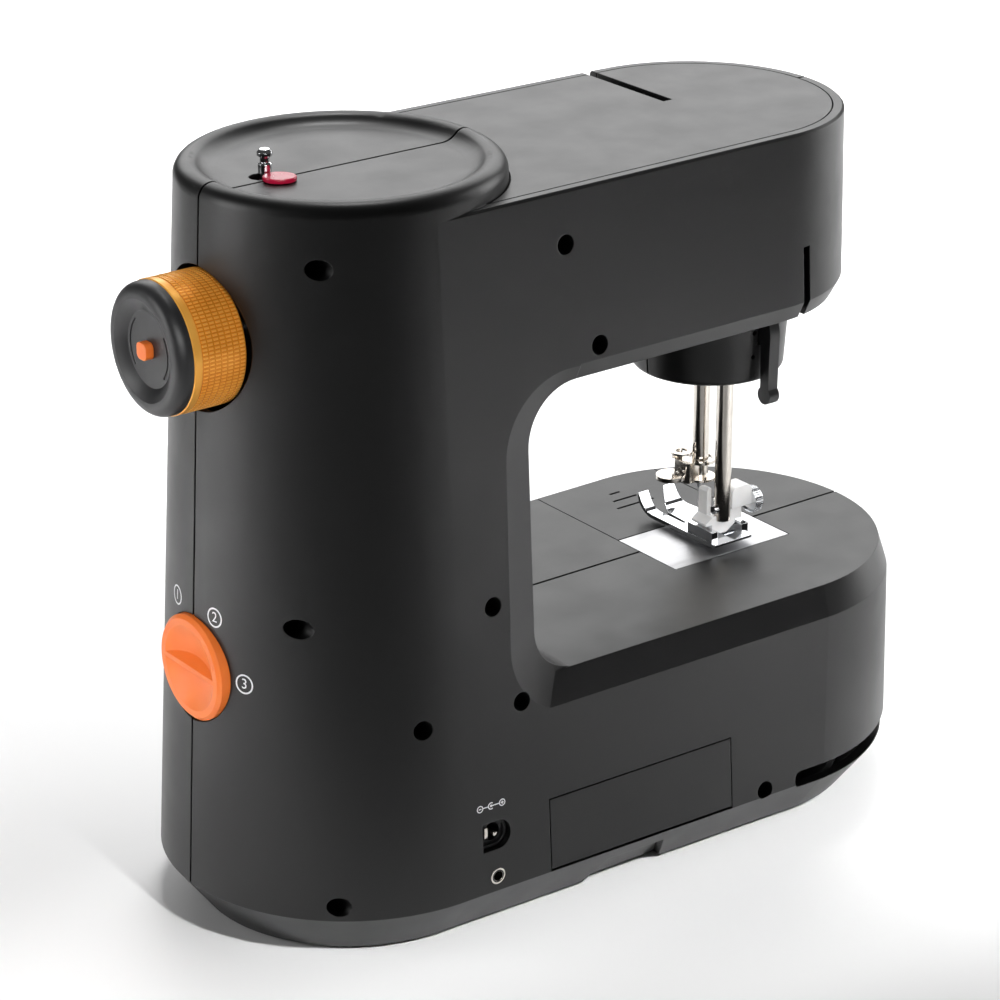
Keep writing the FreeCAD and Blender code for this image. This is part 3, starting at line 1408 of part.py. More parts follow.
def make_electrics(parts):
    face = wall_half(dc_height) - wall - part_clearance
    back = face - 10.0
    half_w = dc_width / 2
    half_t = dc_tall / 2 + 0.4
    body = box(socket_x - half_w, socket_x + half_w, back, face, dc_height - half_t, dc_height + half_t)
    body = body.cut(rod_y(socket_x, dc_height, 3.2, back + 2.0, face + 1))
    parts["dc_socket"] = body.fuse(rod_y(socket_x, dc_height, 1.0, back + 1.0, face - 1.0)).removeSplitter()
    outside = wall_half(pedal_height)
    ring = rod_y(socket_x, pedal_height, pedal_ring_radius, back, outside + 0.3)
    case = box(socket_x - 5.0, socket_x + 5.0, back, face - 1.5, pedal_height - 5.0, pedal_height + 5.0)
    bore = rod_y(socket_x, pedal_height, pedal_bore_radius, back + 1.0, far)
    parts["pedal_socket"] = ring.fuse(case).removeSplitter().cut(bore)
    parts["circuit_board"] = box(socket_x - 17.0, socket_x + 21.0, back - board_thickness, back,
                                 pedal_height - 10.0, dc_height + 18.0)
    parts["battery_box"] = battery_box()


def battery_box():
    front = wall_half(door_top) - wall - part_clearance
    low = chamfer_top + 1.2
    top = door_top + 1.0
    outside = box(door_far_x + 0.6, door_near_x - 0.6, front - bay_depth, front, low, top)
    inside = box(door_far_x + 0.6 + bay_wall, door_near_x - 0.6 - bay_wall, front - bay_depth + bay_wall,
                 front + 1,
                 low + bay_wall, top - bay_wall)
    return outside.cut(inside)


def make_front(parts):
    y = -wall_half(tension_height - tension_radius) - part_clearance
    profile = [(0, 0), (tension_radius, 0), (tension_radius, 5.5), (tension_radius - 1.2, 7.0), (0, 7.0)]
    dial = turned(profile, V(tension_x, y, tension_height), V(0, -1, 0))
    stem = rod_y(tension_x, tension_height, 3.0, y, y + 14.0)
    parts["tension_dial"] = dial.fuse(stem).removeSplitter()
    button_y = -wall_half(button_height) - button_travel - part_clearance
    parts["start_button"] = rod_y(0, button_height, button_radius, button_y, button_y + 12.0)
    lens_low = arm_underside - 1.0
    lens_top = arm_floor + 1.5
    lens = [(0, lens_low), (lamp_radius - 1.0, lens_low), (lamp_radius, arm_underside + 0.5),
            (lamp_radius, lens_top),
            (0, lens_top)]
    parts["lamp_lens"] = turned(lens, V(head_x, lamp_y, 0), V(0, 0, 1))


def make_parts():
    parts = {}
    for make in (make_casing, make_base, make_screws, make_chassis, make_drive, make_hand_wheel, make_dial,
                 make_winder, make_needle, make_head_frame, make_presser, make_needle_plate, make_feed,
                 make_hook, make_lower_drive, make_bed_frame, make_electrics, make_front):
        make(parts)
    return parts


os.makedirs("parts", exist_ok=True)
for name, shape in make_parts().items():
    shape.translate(V(-middle_x, 0, 0))
    shape.exportStep("parts/" + name + ".step")
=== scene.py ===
import math

import bmesh
import bpy
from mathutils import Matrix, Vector


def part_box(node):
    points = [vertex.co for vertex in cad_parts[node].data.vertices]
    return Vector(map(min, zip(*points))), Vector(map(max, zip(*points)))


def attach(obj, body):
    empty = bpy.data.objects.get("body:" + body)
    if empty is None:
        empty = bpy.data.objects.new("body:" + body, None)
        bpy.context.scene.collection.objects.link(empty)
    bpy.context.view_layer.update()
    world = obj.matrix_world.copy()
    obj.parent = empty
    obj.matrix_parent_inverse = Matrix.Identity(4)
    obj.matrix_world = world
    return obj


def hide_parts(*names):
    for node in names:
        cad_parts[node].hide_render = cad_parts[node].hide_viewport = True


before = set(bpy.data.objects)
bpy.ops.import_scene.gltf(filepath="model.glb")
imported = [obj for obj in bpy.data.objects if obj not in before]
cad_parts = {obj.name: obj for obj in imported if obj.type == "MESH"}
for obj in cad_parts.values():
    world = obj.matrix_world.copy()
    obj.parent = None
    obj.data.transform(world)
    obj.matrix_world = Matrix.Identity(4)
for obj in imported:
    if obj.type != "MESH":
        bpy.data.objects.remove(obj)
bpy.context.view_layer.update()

# Metres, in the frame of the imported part: +Z up, front towards -Y, hand wheel towards +X.
mm = 0.001

# Points closer than this are one
merge_distance = 0.001 * mm

# Places on the casing
pillar_x = 73.0 * mm
pillar_top = 258.0 * mm
pillar_top_radius = 53.0 * mm
wall_taper = 0.0533
wall_spread = 0.0178

# Tongue behind the seam between the shells, clear of the hand wheel's shaft and the dial's
tongue_spans = [(14.0 * mm, 74.0 * mm), (118.5 * mm, 184.0 * mm), (232.0 * mm, 250.0 * mm)]
tongue_depth = 4.0 * mm
tongue_size = (1.0 * mm, 5.0 * mm)
tongue_edge = 0.2 * mm

# View of the photograph
photo_target = Vector((-18.83, -38.20, 103.08)) * mm
photo_distance = 1222.0 * mm
photo_pitch = math.radians(22.85)
photo_turn = math.radians(36.92)
photo_lens = 123.2
sensor_width = 36.0
view_near = 0.05
view_far = 50.0

# Studio
floor_radius = 8.0
floor_steps = 96
floor_light_height = 2.0
near_light_spread = math.radians(5.0)
sky_strength = 0.06
machine_middle = (0.0, 0.0, 0.12)
machine_upper = (0.0, 0.0, 0.2)
needle_middle = (-0.08, 0.0, 0.1)
foot_nodes = ["presser_foot", "foot_ankle", "ankle_screw", "needle_clamp", "clamp_screw"]

# Finishes: range of the noise that drives colour and gloss, and samples of a softened edge
grain_low = 0.3
grain_high = 0.7
edge_samples = 6

# Knurl on the hand wheel
ring_wall = 4.0 * mm
ring_edge = 0.35 * mm
ring_steps = 144
knurl_columns = 7
knurl_rows = 106
knurl_height = 0.28 * mm
knurl_share_along = 0.78
knurl_share_round = 0.62
plain_band = 2.7 * mm

# Blocks of the knurl and ridges: how much smaller the top is, and how far the base is sunk
pad_top_along = 0.86
pad_top_round = 0.62
pad_root = 0.1 * mm

# Power inlet: a D-shaped opening whose straight side faces the pillar
inlet_x = 59.6 * mm
inlet_z = 38.1 * mm
inlet_round = 5.2 * mm
inlet_flat = 6.0 * mm
collar_gap = 0.3 * mm
collar_wall = 0.9 * mm
collar_sink = 2.0 * mm
collar_steps = 48
contact_place = Vector((62.8, 62.35, 38.1)) * mm
contact_size = (1.3 * mm, 4.4 * mm)
contact_bow = 0.35 * mm
contact_thickness = 0.2 * mm
contact_steps = (2, 10)
pin_x = 60.0 * mm
pin_radius = 1.0 * mm
pin_reach = 1.1 * mm
pin_sink = 0.7 * mm
pin_root = 2.0 * mm
pin_shoulder = 0.6 * mm
pin_nose = 0.2 * mm
pin_nose_radius = 0.8 * mm
pin_tip_radius = 0.4 * mm
pin_steps = 32

# Pedal jack, with a black lining in the mouth of its bright sleeve
jack_x = 60.0 * mm
jack_z = 23.0 * mm
lining_bore = 1.85 * mm
lining_radius = 2.3 * mm
lining_rise = 0.06 * mm
lining_depth = 1.0 * mm
lining_steps = 48

# Ridges round the head of the ankle screw
ridge_count = 34
ridge_length = 2.9 * mm
ridge_width = 0.46 * mm
ridge_height = 0.3 * mm
ridge_setback = 0.25 * mm

# Printed marks
print_lift = 0.03 * mm
print_thickness = 0.04 * mm
print_ring_steps = 40
mark_radius = 3.1 * mm
mark_line = 0.55 * mm
mark_digit_size = 4.9 * mm
mark_places = {
    "1": (-11.5 * mm, 117.0 * mm),
    "2": (10.9 * mm, 117.0 * mm),
    "3": (23.4 * mm, 97.4 * mm),
}
polarity_place = (61.85 * mm, 49.14 * mm)
polarity_step = 4.46 * mm
polarity_radius = 1.1 * mm
polarity_line = 0.36 * mm
polarity_opening = math.radians(110.0)
polarity_dot = 0.468 * mm
polarity_dot_steps = 16


def wall_reach(z):
    # Distance of the casing's leaning wall from the middle plane.
    return pillar_top_radius + wall_taper * (pillar_top - z)


def back_wall(x, z):
    # The wall also spreads from the pillar towards the needle's end.
    return wall_reach(z) + wall_spread * (pillar_x - x)


# Finishes


def new_finish(name):
    material = bpy.data.materials.new(name)
    material.use_nodes = True
    return material, material.node_tree, material.node_tree.nodes["Principled BSDF"]


def grain(tree, scale, detail=3.0, stretch=(1.0, 1.0, 1.0)):
    # Noise in the piece's own coordinates; scale is in waves per metre.
    place = tree.nodes.new("ShaderNodeTexCoord")
    mapping = tree.nodes.new("ShaderNodeMapping")
    mapping.inputs["Scale"].default_value = stretch
    noise = tree.nodes.new("ShaderNodeTexNoise")
    noise.inputs["Scale"].default_value = scale
    noise.inputs["Detail"].default_value = detail
    tree.links.new(place.outputs["Object"], mapping.inputs["Vector"])
    tree.links.new(mapping.outputs["Vector"], noise.inputs["Vector"])
    return noise.outputs["Fac"]


def tint(tree, shader, value, dark, light):
    ramp = tree.nodes.new("ShaderNodeValToRGB")
    ramp.color_ramp.elements[0].position = grain_low
    ramp.color_ramp.elements[0].color = (*dark, 1.0)
    ramp.color_ramp.elements[1].position = grain_high
    ramp.color_ramp.elements[1].color = (*light, 1.0)
    tree.links.new(value, ramp.inputs["Fac"])
    tree.links.new(ramp.outputs["Color"], shader.inputs["Base Color"])


def gloss(tree, shader, value, smooth, rough):
    spread = tree.nodes.new("ShaderNodeMapRange")
    spread.inputs["From Min"].default_value = grain_low
    spread.inputs["From Max"].default_value = grain_high
    spread.inputs["To Min"].default_value = smooth
    spread.inputs["To Max"].default_value = rough
    tree.links.new(value, spread.inputs["Value"])
    tree.links.new(spread.outputs["Result"], shader.inputs["Roughness"])


def relief(tree, shader, value, height, edge=0.0):
    # Fine surface texture, and edges softened over a small radius where one is given.
    bump = tree.nodes.new("ShaderNodeBump")
    bump.inputs["Strength"].default_value = 1.0
    bump.inputs["Distance"].default_value = height
    tree.links.new(value, bump.inputs["Height"])
    tree.links.new(bump.outputs["Normal"], shader.inputs["Normal"])
    if edge:
        soft = tree.nodes.new("ShaderNodeBevel")
        soft.samples = edge_samples
        soft.inputs["Radius"].default_value = edge
        tree.links.new(soft.outputs["Normal"], bump.inputs["Normal"])


def moulded_black():
    material, tree, shader = new_finish("moulded_black")
    tint(tree, shader, grain(tree, 9.0), (0.0036, 0.0036, 0.0038), (0.0048, 0.0048, 0.0050))
    gloss(tree, shader, grain(tree, 60.0), 0.36, 0.42)
    relief(tree, shader, grain(tree, 2600.0, 2.0), 0.018 * mm, 0.45 * mm)
    return material


def satin_black():
    material, tree, shader = new_finish("satin_black")
    tint(tree, shader, grain(tree, 30.0), (0.012, 0.012, 0.013), (0.018, 0.018, 0.019))
    gloss(tree, shader, grain(tree, 120.0), 0.38, 0.46)
    relief(tree, shader, grain(tree, 1800.0, 2.0), 0.006 * mm, 0.3 * mm)
    return material


def anodised(name, dark, light):
    material, tree, shader = new_finish(name)
    tint(tree, shader, grain(tree, 140.0), dark, light)
    gloss(tree, shader, grain(tree, 700.0), 0.28, 0.38)
    relief(tree, shader, grain(tree, 3000.0, 2.0), 0.006 * mm)
    shader.inputs["Metallic"].default_value = 0.38
    return material


def anodised_orange():
    return anodised("anodised_orange", (0.96, 0.42, 0.060), (1.0, 0.50, 0.090))


def knurl_painted_shade():
    # Painted shade: deeper colour down in the grooves of the knurl, standing in for the shade between the
    # raised blocks.
    return anodised("knurl_painted_shade", (0.72, 0.240, 0.016), (0.80, 0.290, 0.026))


def orange_plastic():
    material, tree, shader = new_finish("orange_plastic")
    tint(tree, shader, grain(tree, 45.0), (0.92, 0.190, 0.026), (0.97, 0.225, 0.036))
    gloss(tree, shader, grain(tree, 200.0), 0.36, 0.46)
    relief(tree, shader, grain(tree, 2200.0, 2.0), 0.010 * mm, 0.4 * mm)
    shader.inputs["Subsurface Weight"].default_value = 0.15
    shader.inputs["Subsurface Radius"].default_value = (1.2 * mm, 0.5 * mm, 0.2 * mm)
    shader.inputs["Subsurface Scale"].default_value = 1.0
    return material


def crimson_plastic():
    material, tree, shader = new_finish("crimson_plastic")
    tint(tree, shader, grain(tree, 90.0), (0.46, 0.008, 0.040), (0.56, 0.014, 0.060))
    gloss(tree, shader, grain(tree, 300.0), 0.18, 0.28)
    relief(tree, shader, grain(tree, 1500.0, 2.0), 0.004 * mm, 0.4 * mm)
    return material


def bright_metal(name, dark, light, smooth, rough, stretch=(1.0, 1.0, 1.0), edge=0.2 * mm):
    material, tree, shader = new_finish(name)
    tint(tree, shader, grain(tree, 220.0, 3.0, stretch), dark, light)
    gloss(tree, shader, grain(tree, 900.0, 3.0, stretch), smooth, rough)
    relief(tree, shader, grain(tree, 1600.0, 2.0, stretch), 0.003 * mm, edge)
    shader.inputs["Metallic"].default_value = 1.0
    return material


def chrome_plate():
    return bright_metal("chrome_plate", (0.74, 0.75, 0.77), (0.82, 0.83, 0.84), 0.05, 0.11)


def nickel_plate():
    return bright_metal("nickel_plate", (0.62, 0.58, 0.53), (0.70, 0.665, 0.615), 0.10, 0.18)


def turned_steel():
    return bright_metal("turned_steel", (0.50, 0.50, 0.51), (0.62, 0.62, 0.63), 0.22, 0.34, (1.0, 1.0, 0.1))


def brushed_plate_steel():
    return bright_metal("brushed_plate_steel", (0.50, 0.50, 0.51), (0.58, 0.58, 0.59), 0.36, 0.46,
                        (0.06, 1.0, 1.0))


def cast_zinc():
    return bright_metal("cast_zinc", (0.36, 0.36, 0.37), (0.46, 0.46, 0.47), 0.42, 0.58)


def turned_brass():
    return bright_metal("turned_brass", (0.58, 0.40, 0.16), (0.70, 0.50, 0.22), 0.20, 0.32)


def milky_plastic():
    material, tree, shader = new_finish("milky_plastic")
    tint(tree, shader, grain(tree, 80.0), (0.95, 0.94, 0.93), (0.99, 0.98, 0.97))
    gloss(tree, shader, grain(tree, 300.0), 0.30, 0.42)
    relief(tree, shader, grain(tree, 1500.0, 2.0), 0.006 * mm, 0.3 * mm)
    shader.inputs["Subsurface Weight"].default_value = 0.2
    shader.inputs["Subsurface Radius"].default_value = (2.0 * mm, 1.7 * mm, 1.5 * mm)
    shader.inputs["Subsurface Scale"].default_value = 1.0
    return material


def natural_nylon():
    material, tree, shader = new_finish("natural_nylon")
    tint(tree, shader, grain(tree, 60.0), (0.62, 0.60, 0.54), (0.70, 0.68, 0.62))
    gloss(tree, shader, grain(tree, 250.0), 0.40, 0.52)
    relief(tree, shader, grain(tree, 1500.0, 2.0), 0.006 * mm)
    return material


# Painted shade: black nylon on the drive gear, so that its teeth seen through the casing's seam read as the
# shade inside the casing.
def painted_shade_nylon():
    material, tree, shader = new_finish("painted_shade_nylon")
    tint(tree, shader, grain(tree, 60.0), (0.010, 0.010, 0.010), (0.016, 0.016, 0.016))
    gloss(tree, shader, grain(tree, 250.0), 0.38, 0.50)
    relief(tree, shader, grain(tree, 1500.0, 2.0), 0.006 * mm)
    return material


def soft_rubber():
    material, tree, shader = new_finish("soft_rubber")
    tint(tree, shader, grain(tree, 120.0), (0.016, 0.016, 0.016), (0.028, 0.028, 0.028))
    gloss(tree, shader, grain(tree, 400.0), 0.66, 0.82)
    relief(tree, shader, grain(tree, 2400.0, 2.0), 0.020 * mm)
    return material


def board_green():
    material, tree, shader = new_finish("board_green")
    tint(tree, shader, grain(tree, 300.0), (0.012, 0.075, 0.030), (0.020, 0.110, 0.045))
    gloss(tree, shader, grain(tree, 500.0), 0.26, 0.38)
    relief(tree, shader, grain(tree, 1200.0, 2.0), 0.010 * mm)
    return material


def clear_moulding():
    material, tree, shader = new_finish("clear_moulding")
    tint(tree, shader, grain(tree, 60.0), (0.90, 0.92, 0.93), (0.96, 0.97, 0.97))
    gloss(tree, shader, grain(tree, 400.0), 0.10, 0.18)
    relief(tree, shader, grain(tree, 500.0, 2.0), 0.004 * mm)
    shader.inputs["Transmission Weight"].default_value = 0.7
    return material


def white_ink():
    material, tree, shader = new_finish("white_ink")
    tint(tree, shader, grain(tree, 900.0), (0.70, 0.71, 0.73), (0.84, 0.85, 0.86))
    gloss(tree, shader, grain(tree, 900.0), 0.42, 0.58)
    relief(tree, shader, grain(tree, 4000.0, 2.0), 0.006 * mm)
    return material


def pale_floor():
    material, tree, shader = new_finish("pale_floor")
    tint(tree, shader, grain(tree, 2.0), (0.88, 0.88, 0.88), (0.90, 0.90, 0.90))
    gloss(tree, shader, grain(tree, 4.0), 0.85, 0.92)
    return material


finishes = {
    "moulded_black": moulded_black(),
    "satin_black": satin_black(),
    "anodised_orange": anodised_orange(),
    "knurl_painted_shade": knurl_painted_shade(),
    "orange_plastic": orange_plastic(),
    "crimson_plastic": crimson_plastic(),
    "chrome_plate": chrome_plate(),
    "nickel_plate": nickel_plate(),
    "turned_steel": turned_steel(),
    "brushed_plate_steel": brushed_plate_steel(),
    "cast_zinc": cast_zinc(),
    "turned_brass": turned_brass(),
    "milky_plastic": milky_plastic(),
    "natural_nylon": natural_nylon(),
    "painted_shade_nylon": painted_shade_nylon(),
    "soft_rubber": soft_rubber(),
    "board_green": board_green(),
    "clear_moulding": clear_moulding(),
    "white_ink": white_ink(),
    "pale_floor": pale_floor(),
}

node_finishes = {
    "moulded_black": ["back_shell", "front_shell", "arm_cover", "base_plate", "bobbin_cover", "battery_door",
                      "battery_box"],
    "satin_black": ["hand_wheel_cap", "dc_socket", "bobbin_case", "presser_lever"],
    "anodised_orange": ["hand_wheel_ring"],
    "orange_plastic": ["hand_wheel_peg", "selector_dial", "tension_dial", "start_button"],
    "crimson_plastic": ["winder_tab"],
    "chrome_plate": ["winder_spindle", "presser_foot", "ankle_screw", "take_up_lever"],
    "nickel_plate": ["needle_bar", "presser_bar", "needle_clamp", "clamp_screw", "pedal_socket"],
    "turned_steel": ["needle", "main_shaft", "lower_shaft", "lever_pin", "take_up_pin", "hook", "motor",
                     "casing_screws", "presser_spring"],
    "brushed_plate_steel": ["needle_plate", "feed_dog"],
    "cast_zinc": ["chassis", "head_frame", "bed_frame", "crank_disc", "needle_bracket", "needle_link",
                  "presser_collar", "feed_carrier"],
    "turned_brass": ["shaft_bushes", "motor_pinion"],
    "milky_plastic": ["foot_ankle"],
    # The drive gear's black is painted shade for the casing's seam.
    "painted_shade_nylon": ["drive_gear"],
    "natural_nylon": ["main_pulley", "lower_pulley", "lower_bevel", "hook_bevel"],
    "soft_rubber": ["rubber_feet", "timing_belt", "winder_tyre"],
    "board_green": ["circuit_board"],
    "clear_moulding": ["lamp_lens", "bobbin"],
}


def dress_nodes():
    for name, nodes in node_finishes.items():
        for node in nodes:
            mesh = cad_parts[node].data
            mesh.materials.clear()
            mesh.materials.append(finishes[name])


def bright_pin():
    # The pin in the middle of the power inlet is metal, unlike the rest of its socket.
    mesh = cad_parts["dc_socket"].data
    mesh.materials.append(finishes["nickel_plate"])
    for face in mesh.polygons:
        if math.hypot(face.center.x - pin_x, face.center.z - inlet_z) < pin_reach:
            face.material_index = 1


# Building blocks of the new pieces


def new_piece(name, shape, body, finish):
    # Turns a bmesh into a piece that moves with a body of the part.
    mesh = bpy.data.meshes.new(name)
    shape.to_mesh(mesh)
    shape.free()
    mesh.materials.append(finishes[finish])
    piece = bpy.data.objects.new(name, mesh)
    bpy.context.scene.collection.objects.link(piece)
    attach(piece, body)
    return piece


def tidy(shape):
    # Merges doubles, drops edges that lie on a turning axis and turns all faces outwards.
    bmesh.ops.remove_doubles(shape, verts=shape.verts, dist=merge_distance)
    loose = [edge for edge in shape.edges if not edge.link_faces]
    bmesh.ops.delete(shape, geom=loose, context="EDGES")
    bmesh.ops.recalc_face_normals(shape, faces=shape.faces)


def spun(shape, outline, centre, axis, steps):
    # Closed outline of (along, radius) pairs turned once round a level axis.
    verts = [shape.verts.new(centre + axis * along + Vector((0.0, 0.0, radius))) for along, radius in outline]
    edges = [shape.edges.new((a, b)) for a, b in zip(verts, verts[1:] + verts[:1])]
    bmesh.ops.spin(shape, geom=verts + edges, cent=centre, axis=axis, angle=math.tau, steps=steps,
                   use_merge=True)
    tidy(shape)


# Hand wheel and screw heads


def knurl_pad(shape, along, length, width, low, high, centre):
    # One raised block of a knurl, smaller at its top.
    made = bmesh.ops.create_cube(shape, size=1.0)
    for vert in made["verts"]:
        top = vert.co.z > 0.0
        vert.co.x = along + vert.co.x * length * (pad_top_along if top else 1.0)
        vert.co.y *= width * (pad_top_round if top else 1.0)
        vert.co.z = high if top else low
        vert.co += centre
    return made["verts"]


def repeat_round(shape, verts, centre, count):
    # Copies pads evenly round an axis along X.
    faces = list({face for vert in verts for face in vert.link_faces})
    bmesh.ops.spin(shape, geom=faces, cent=centre, axis=(1.0, 0.0, 0.0),
                   angle=math.tau * (count - 1) / count, steps=count - 1, use_duplicate=True)


def knurled_ring():
    low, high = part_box("hand_wheel_ring")
    centre = Vector((0.0, (low.y + high.y) / 2, (low.z + high.z) / 2))
    outer = (high.z - low.z) / 2
    bore = outer - ring_wall
    ground = outer - knurl_height
    edge = ring_edge
    band = high.x - plain_band
    outline = [(low.x, bore), (low.x, ground - edge), (low.x + edge, ground), (band - edge, ground),
               (band, outer), (high.x - edge, outer), (high.x, outer - edge), (high.x, bore)]
    shape = bmesh.new()
    spun(shape, outline, centre, Vector((1.0, 0.0, 0.0)), ring_steps)
    # Faces of the ground between the blocks get the second material, the painted shade of the grooves.
    for face in shape.faces:
        middle = face.calc_center_median() - centre
        if middle.x < band - edge and math.hypot(middle.y, middle.z) > bore + edge:
            face.material_index = 1
    knurl_start = low.x + edge
    pitch = (band - edge - knurl_start) / knurl_columns
    width = math.tau * outer / knurl_rows * knurl_share_round
    pads = []
    for column in range(knurl_columns):
        along = knurl_start + (column + 0.5) * pitch
        pads += knurl_pad(shape, along, pitch * knurl_share_along, width, ground - pad_root, outer, centre)
    repeat_round(shape, pads, centre, knurl_rows)
    piece = new_piece("knurled_ring", shape, "hand_wheel", "anodised_orange")
    piece.data.materials.append(finishes["knurl_painted_shade"])
    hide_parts("hand_wheel_ring")


def ankle_screw_ridges():
    low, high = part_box("ankle_screw")
    centre = Vector((0.0, (low.y + high.y) / 2, (low.z + high.z) / 2))
    head = (high.z - low.z) / 2
    shape = bmesh.new()
    along = low.x + ridge_length / 2 + ridge_setback
    pad = knurl_pad(shape, along, ridge_length, ridge_width, head - pad_root, head + ridge_height, centre)
    repeat_round(shape, pad, centre, ridge_count)
    new_piece("ankle_screw_ridges", shape, "presser_bar", "chrome_plate")


# Seam of the casing


def seam_tongue():
    # Strips inside the pillar that stop light from passing through the seam.
    shape = bmesh.new()
    for low, high in tongue_spans:
        made = bmesh.ops.create_cube(shape, size=1.0)
        for vert in made["verts"]:
            height = high if vert.co.z > 0.0 else low
            along = pillar_x + wall_reach(height) - tongue_depth + vert.co.x * tongue_size[0]
            vert.co = Vector((along, vert.co.y * tongue_size[1], height))
    bmesh.ops.bevel(shape, geom=shape.edges[:], offset=tongue_edge, affect="EDGES", segments=2, profile=0.5,
                    material=-1)
    tidy(shape)
    new_piece("seam_tongue", shape, "machine", "moulded_black")


# Power inlet


def inlet_collar():
    # Thin wall of the socket inside the D-shaped opening, sunk a little behind the leaning casing.
    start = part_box("dc_socket")[1].y
    shape = bmesh.new()
    bmesh.ops.create_circle(shape, segments=collar_steps, radius=1.0)
    for vert in shape.verts:
        along, up = vert.co.x, vert.co.y
        if along > 0.0:
            corner = max(along, abs(up))
            along, up = along / corner, up / corner
        half = inlet_flat if along > 0.0 else inlet_round
        vert.co = Vector((inlet_x + along * (half - collar_gap), start,
                          inlet_z + up * (inlet_round - collar_gap)))
    tube = bmesh.ops.extrude_edge_only(shape, edges=shape.edges[:])
    for vert in tube["geom"]:
        if isinstance(vert, bmesh.types.BMVert):
            vert.co.y = back_wall(vert.co.x, vert.co.z) - collar_sink
    bmesh.ops.recalc_face_normals(shape, faces=shape.faces)
    bmesh.ops.solidify(shape, geom=shape.faces[:], thickness=collar_wall)
    new_piece("inlet_collar", shape, "machine", "moulded_black")


def inlet_contact():
    # Leaf of spring metal beside the pin, bowed outwards.
    shape = bmesh.new()
    bmesh.ops.create_grid(shape, x_segments=contact_steps[0], y_segments=contact_steps[1], size=0.5)
    for vert in shape.verts:
        across, up = vert.co.x, vert.co.y
        bow = contact_bow * (1.0 - 4.0 * up * up)
        vert.co = contact_place + Vector((across * contact_size[0], bow, up * contact_size[1]))
    bmesh.ops.recalc_face_normals(shape, faces=shape.faces)
    bmesh.ops.solidify(shape, geom=shape.faces[:], thickness=contact_thickness)
    new_piece("inlet_contact", shape, "machine", "nickel_plate")


def inlet_pin():
    # Front of the middle pin, with a rounded tip just inside the wall.
    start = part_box("dc_socket")[0].y + pin_root
    tip = back_wall(pin_x, inlet_z) - pin_sink
    outline = [(start, 0.0), (start, pin_radius), (tip - pin_shoulder, pin_radius),
               (tip - pin_nose, pin_nose_radius), (tip, pin_tip_radius), (tip, 0.0)]
    shape = bmesh.new()
    spun(shape, outline, Vector((pin_x, 0.0, inlet_z)), Vector((0.0, 1.0, 0.0)), pin_steps)
    new_piece("inlet_pin", shape, "machine", "nickel_plate")


def jack_lining():
    # Black lining inside the mouth of the pedal jack.
    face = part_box("pedal_socket")[1].y
    back = face - lining_depth
    outline = [(back, lining_bore), (back, lining_radius), (face, lining_radius),
               (face + lining_rise, lining_radius - lining_rise), (face, lining_bore)]
    shape = bmesh.new()
    spun(shape, outline, Vector((jack_x, 0.0, jack_z)), Vector((0.0, 1.0, 0.0)), lining_steps)
    new_piece("jack_lining", shape, "machine", "moulded_black")


# Printed marks


def flat_ring(shape, radius, line, along=0.0, opening=0.0):
    # Ring round (along, 0), with an opening in radians on its right.
    centre = Vector((along, 0.0, 0.0))
    edge_on = Vector((math.cos(opening / 2), math.sin(opening / 2), 0.0))
    start = shape.verts.new(centre + edge_on * (radius - line / 2))
    end = shape.verts.new(centre + edge_on * (radius + line / 2))
    edge = shape.edges.new((start, end))
    bmesh.ops.spin(shape, geom=[start, end, edge], cent=centre, axis=(0.0, 0.0, 1.0),
                   angle=math.tau - opening, steps=print_ring_steps, use_merge=opening == 0.0)


def flat_bar(shape, along, up, length, height):
    made = bmesh.ops.create_grid(shape, x_segments=1, y_segments=1, size=0.5)
    for vert in made["verts"]:
        vert.co = Vector((along + vert.co.x * length, up + vert.co.y * height, 0.0))


def flat_digit(shape, digit, size):
    curve = bpy.data.curves.new("digit", "FONT")
    curve.body = digit
    curve.size = size
    curve.align_x = "CENTER"
    curve.align_y = "CENTER"
    text = bpy.data.objects.new("digit", curve)
    bpy.context.scene.collection.objects.link(text)
    bpy.context.view_layer.update()
    mesh = bpy.data.meshes.new_from_object(text.evaluated_get(bpy.context.evaluated_depsgraph_get()))
    shape.from_mesh(mesh)
    bpy.data.objects.remove(text)
    bpy.data.meshes.remove(mesh)


def wrap_on_pillar(shape, y, z):
    # Bends a flat print round the pillar's cone, with its middle at (y, z) on the side of the hand wheel.
    middle = math.asin(y / wall_reach(z))
    for vert in shape.verts:
        height = z + vert.co.y
        reach = wall_reach(height) + print_lift + vert.co.z
        angle = middle + vert.co.x / wall_reach(z)
        vert.co = Vector((pillar_x + reach * math.cos(angle), reach * math.sin(angle), height))


def dial_marks():
    for digit, (y, z) in mark_places.items():
        shape = bmesh.new()
        flat_ring(shape, mark_radius, mark_line)
        flat_digit(shape, digit, mark_digit_size)
        tidy(shape)
        bmesh.ops.solidify(shape, geom=shape.faces[:], thickness=print_thickness)
        wrap_on_pillar(shape, y, z)
        new_piece("dial_mark_" + digit, shape, "machine", "white_ink")


def polarity_mark():
    # Plain polarity sign above the inlet: minus in a ring, open ring round a dot, plus in a ring.
    step = polarity_step
    radius = polarity_radius
    line = polarity_line
    shape = bmesh.new()
    for side in (-step, step):
        flat_ring(shape, radius, line, side)
        flat_bar(shape, side, 0.0, radius, line)
    flat_bar(shape, step, 0.0, line, radius)
    flat_ring(shape, radius, line, 0.0, polarity_opening)
    bmesh.ops.create_circle(shape, cap_ends=True, segments=polarity_dot_steps, radius=polarity_dot)
    arm = step - 2 * radius
    flat_bar(shape, -step / 2, 0.0, arm, line)
    flat_bar(shape, (step - radius) / 2, 0.0, step - radius, line)
    bmesh.ops.recalc_face_normals(shape, faces=shape.faces)
    bmesh.ops.solidify(shape, geom=shape.faces[:], thickness=print_thickness)
    for vert in shape.verts:
        height = polarity_place[1] + vert.co.y
        along = polarity_place[0] - vert.co.x
        vert.co = Vector((along, back_wall(along, height) + print_lift + vert.co.z, height))
    new_piece("polarity_mark", shape, "machine", "white_ink")


# Floor, lights and camera


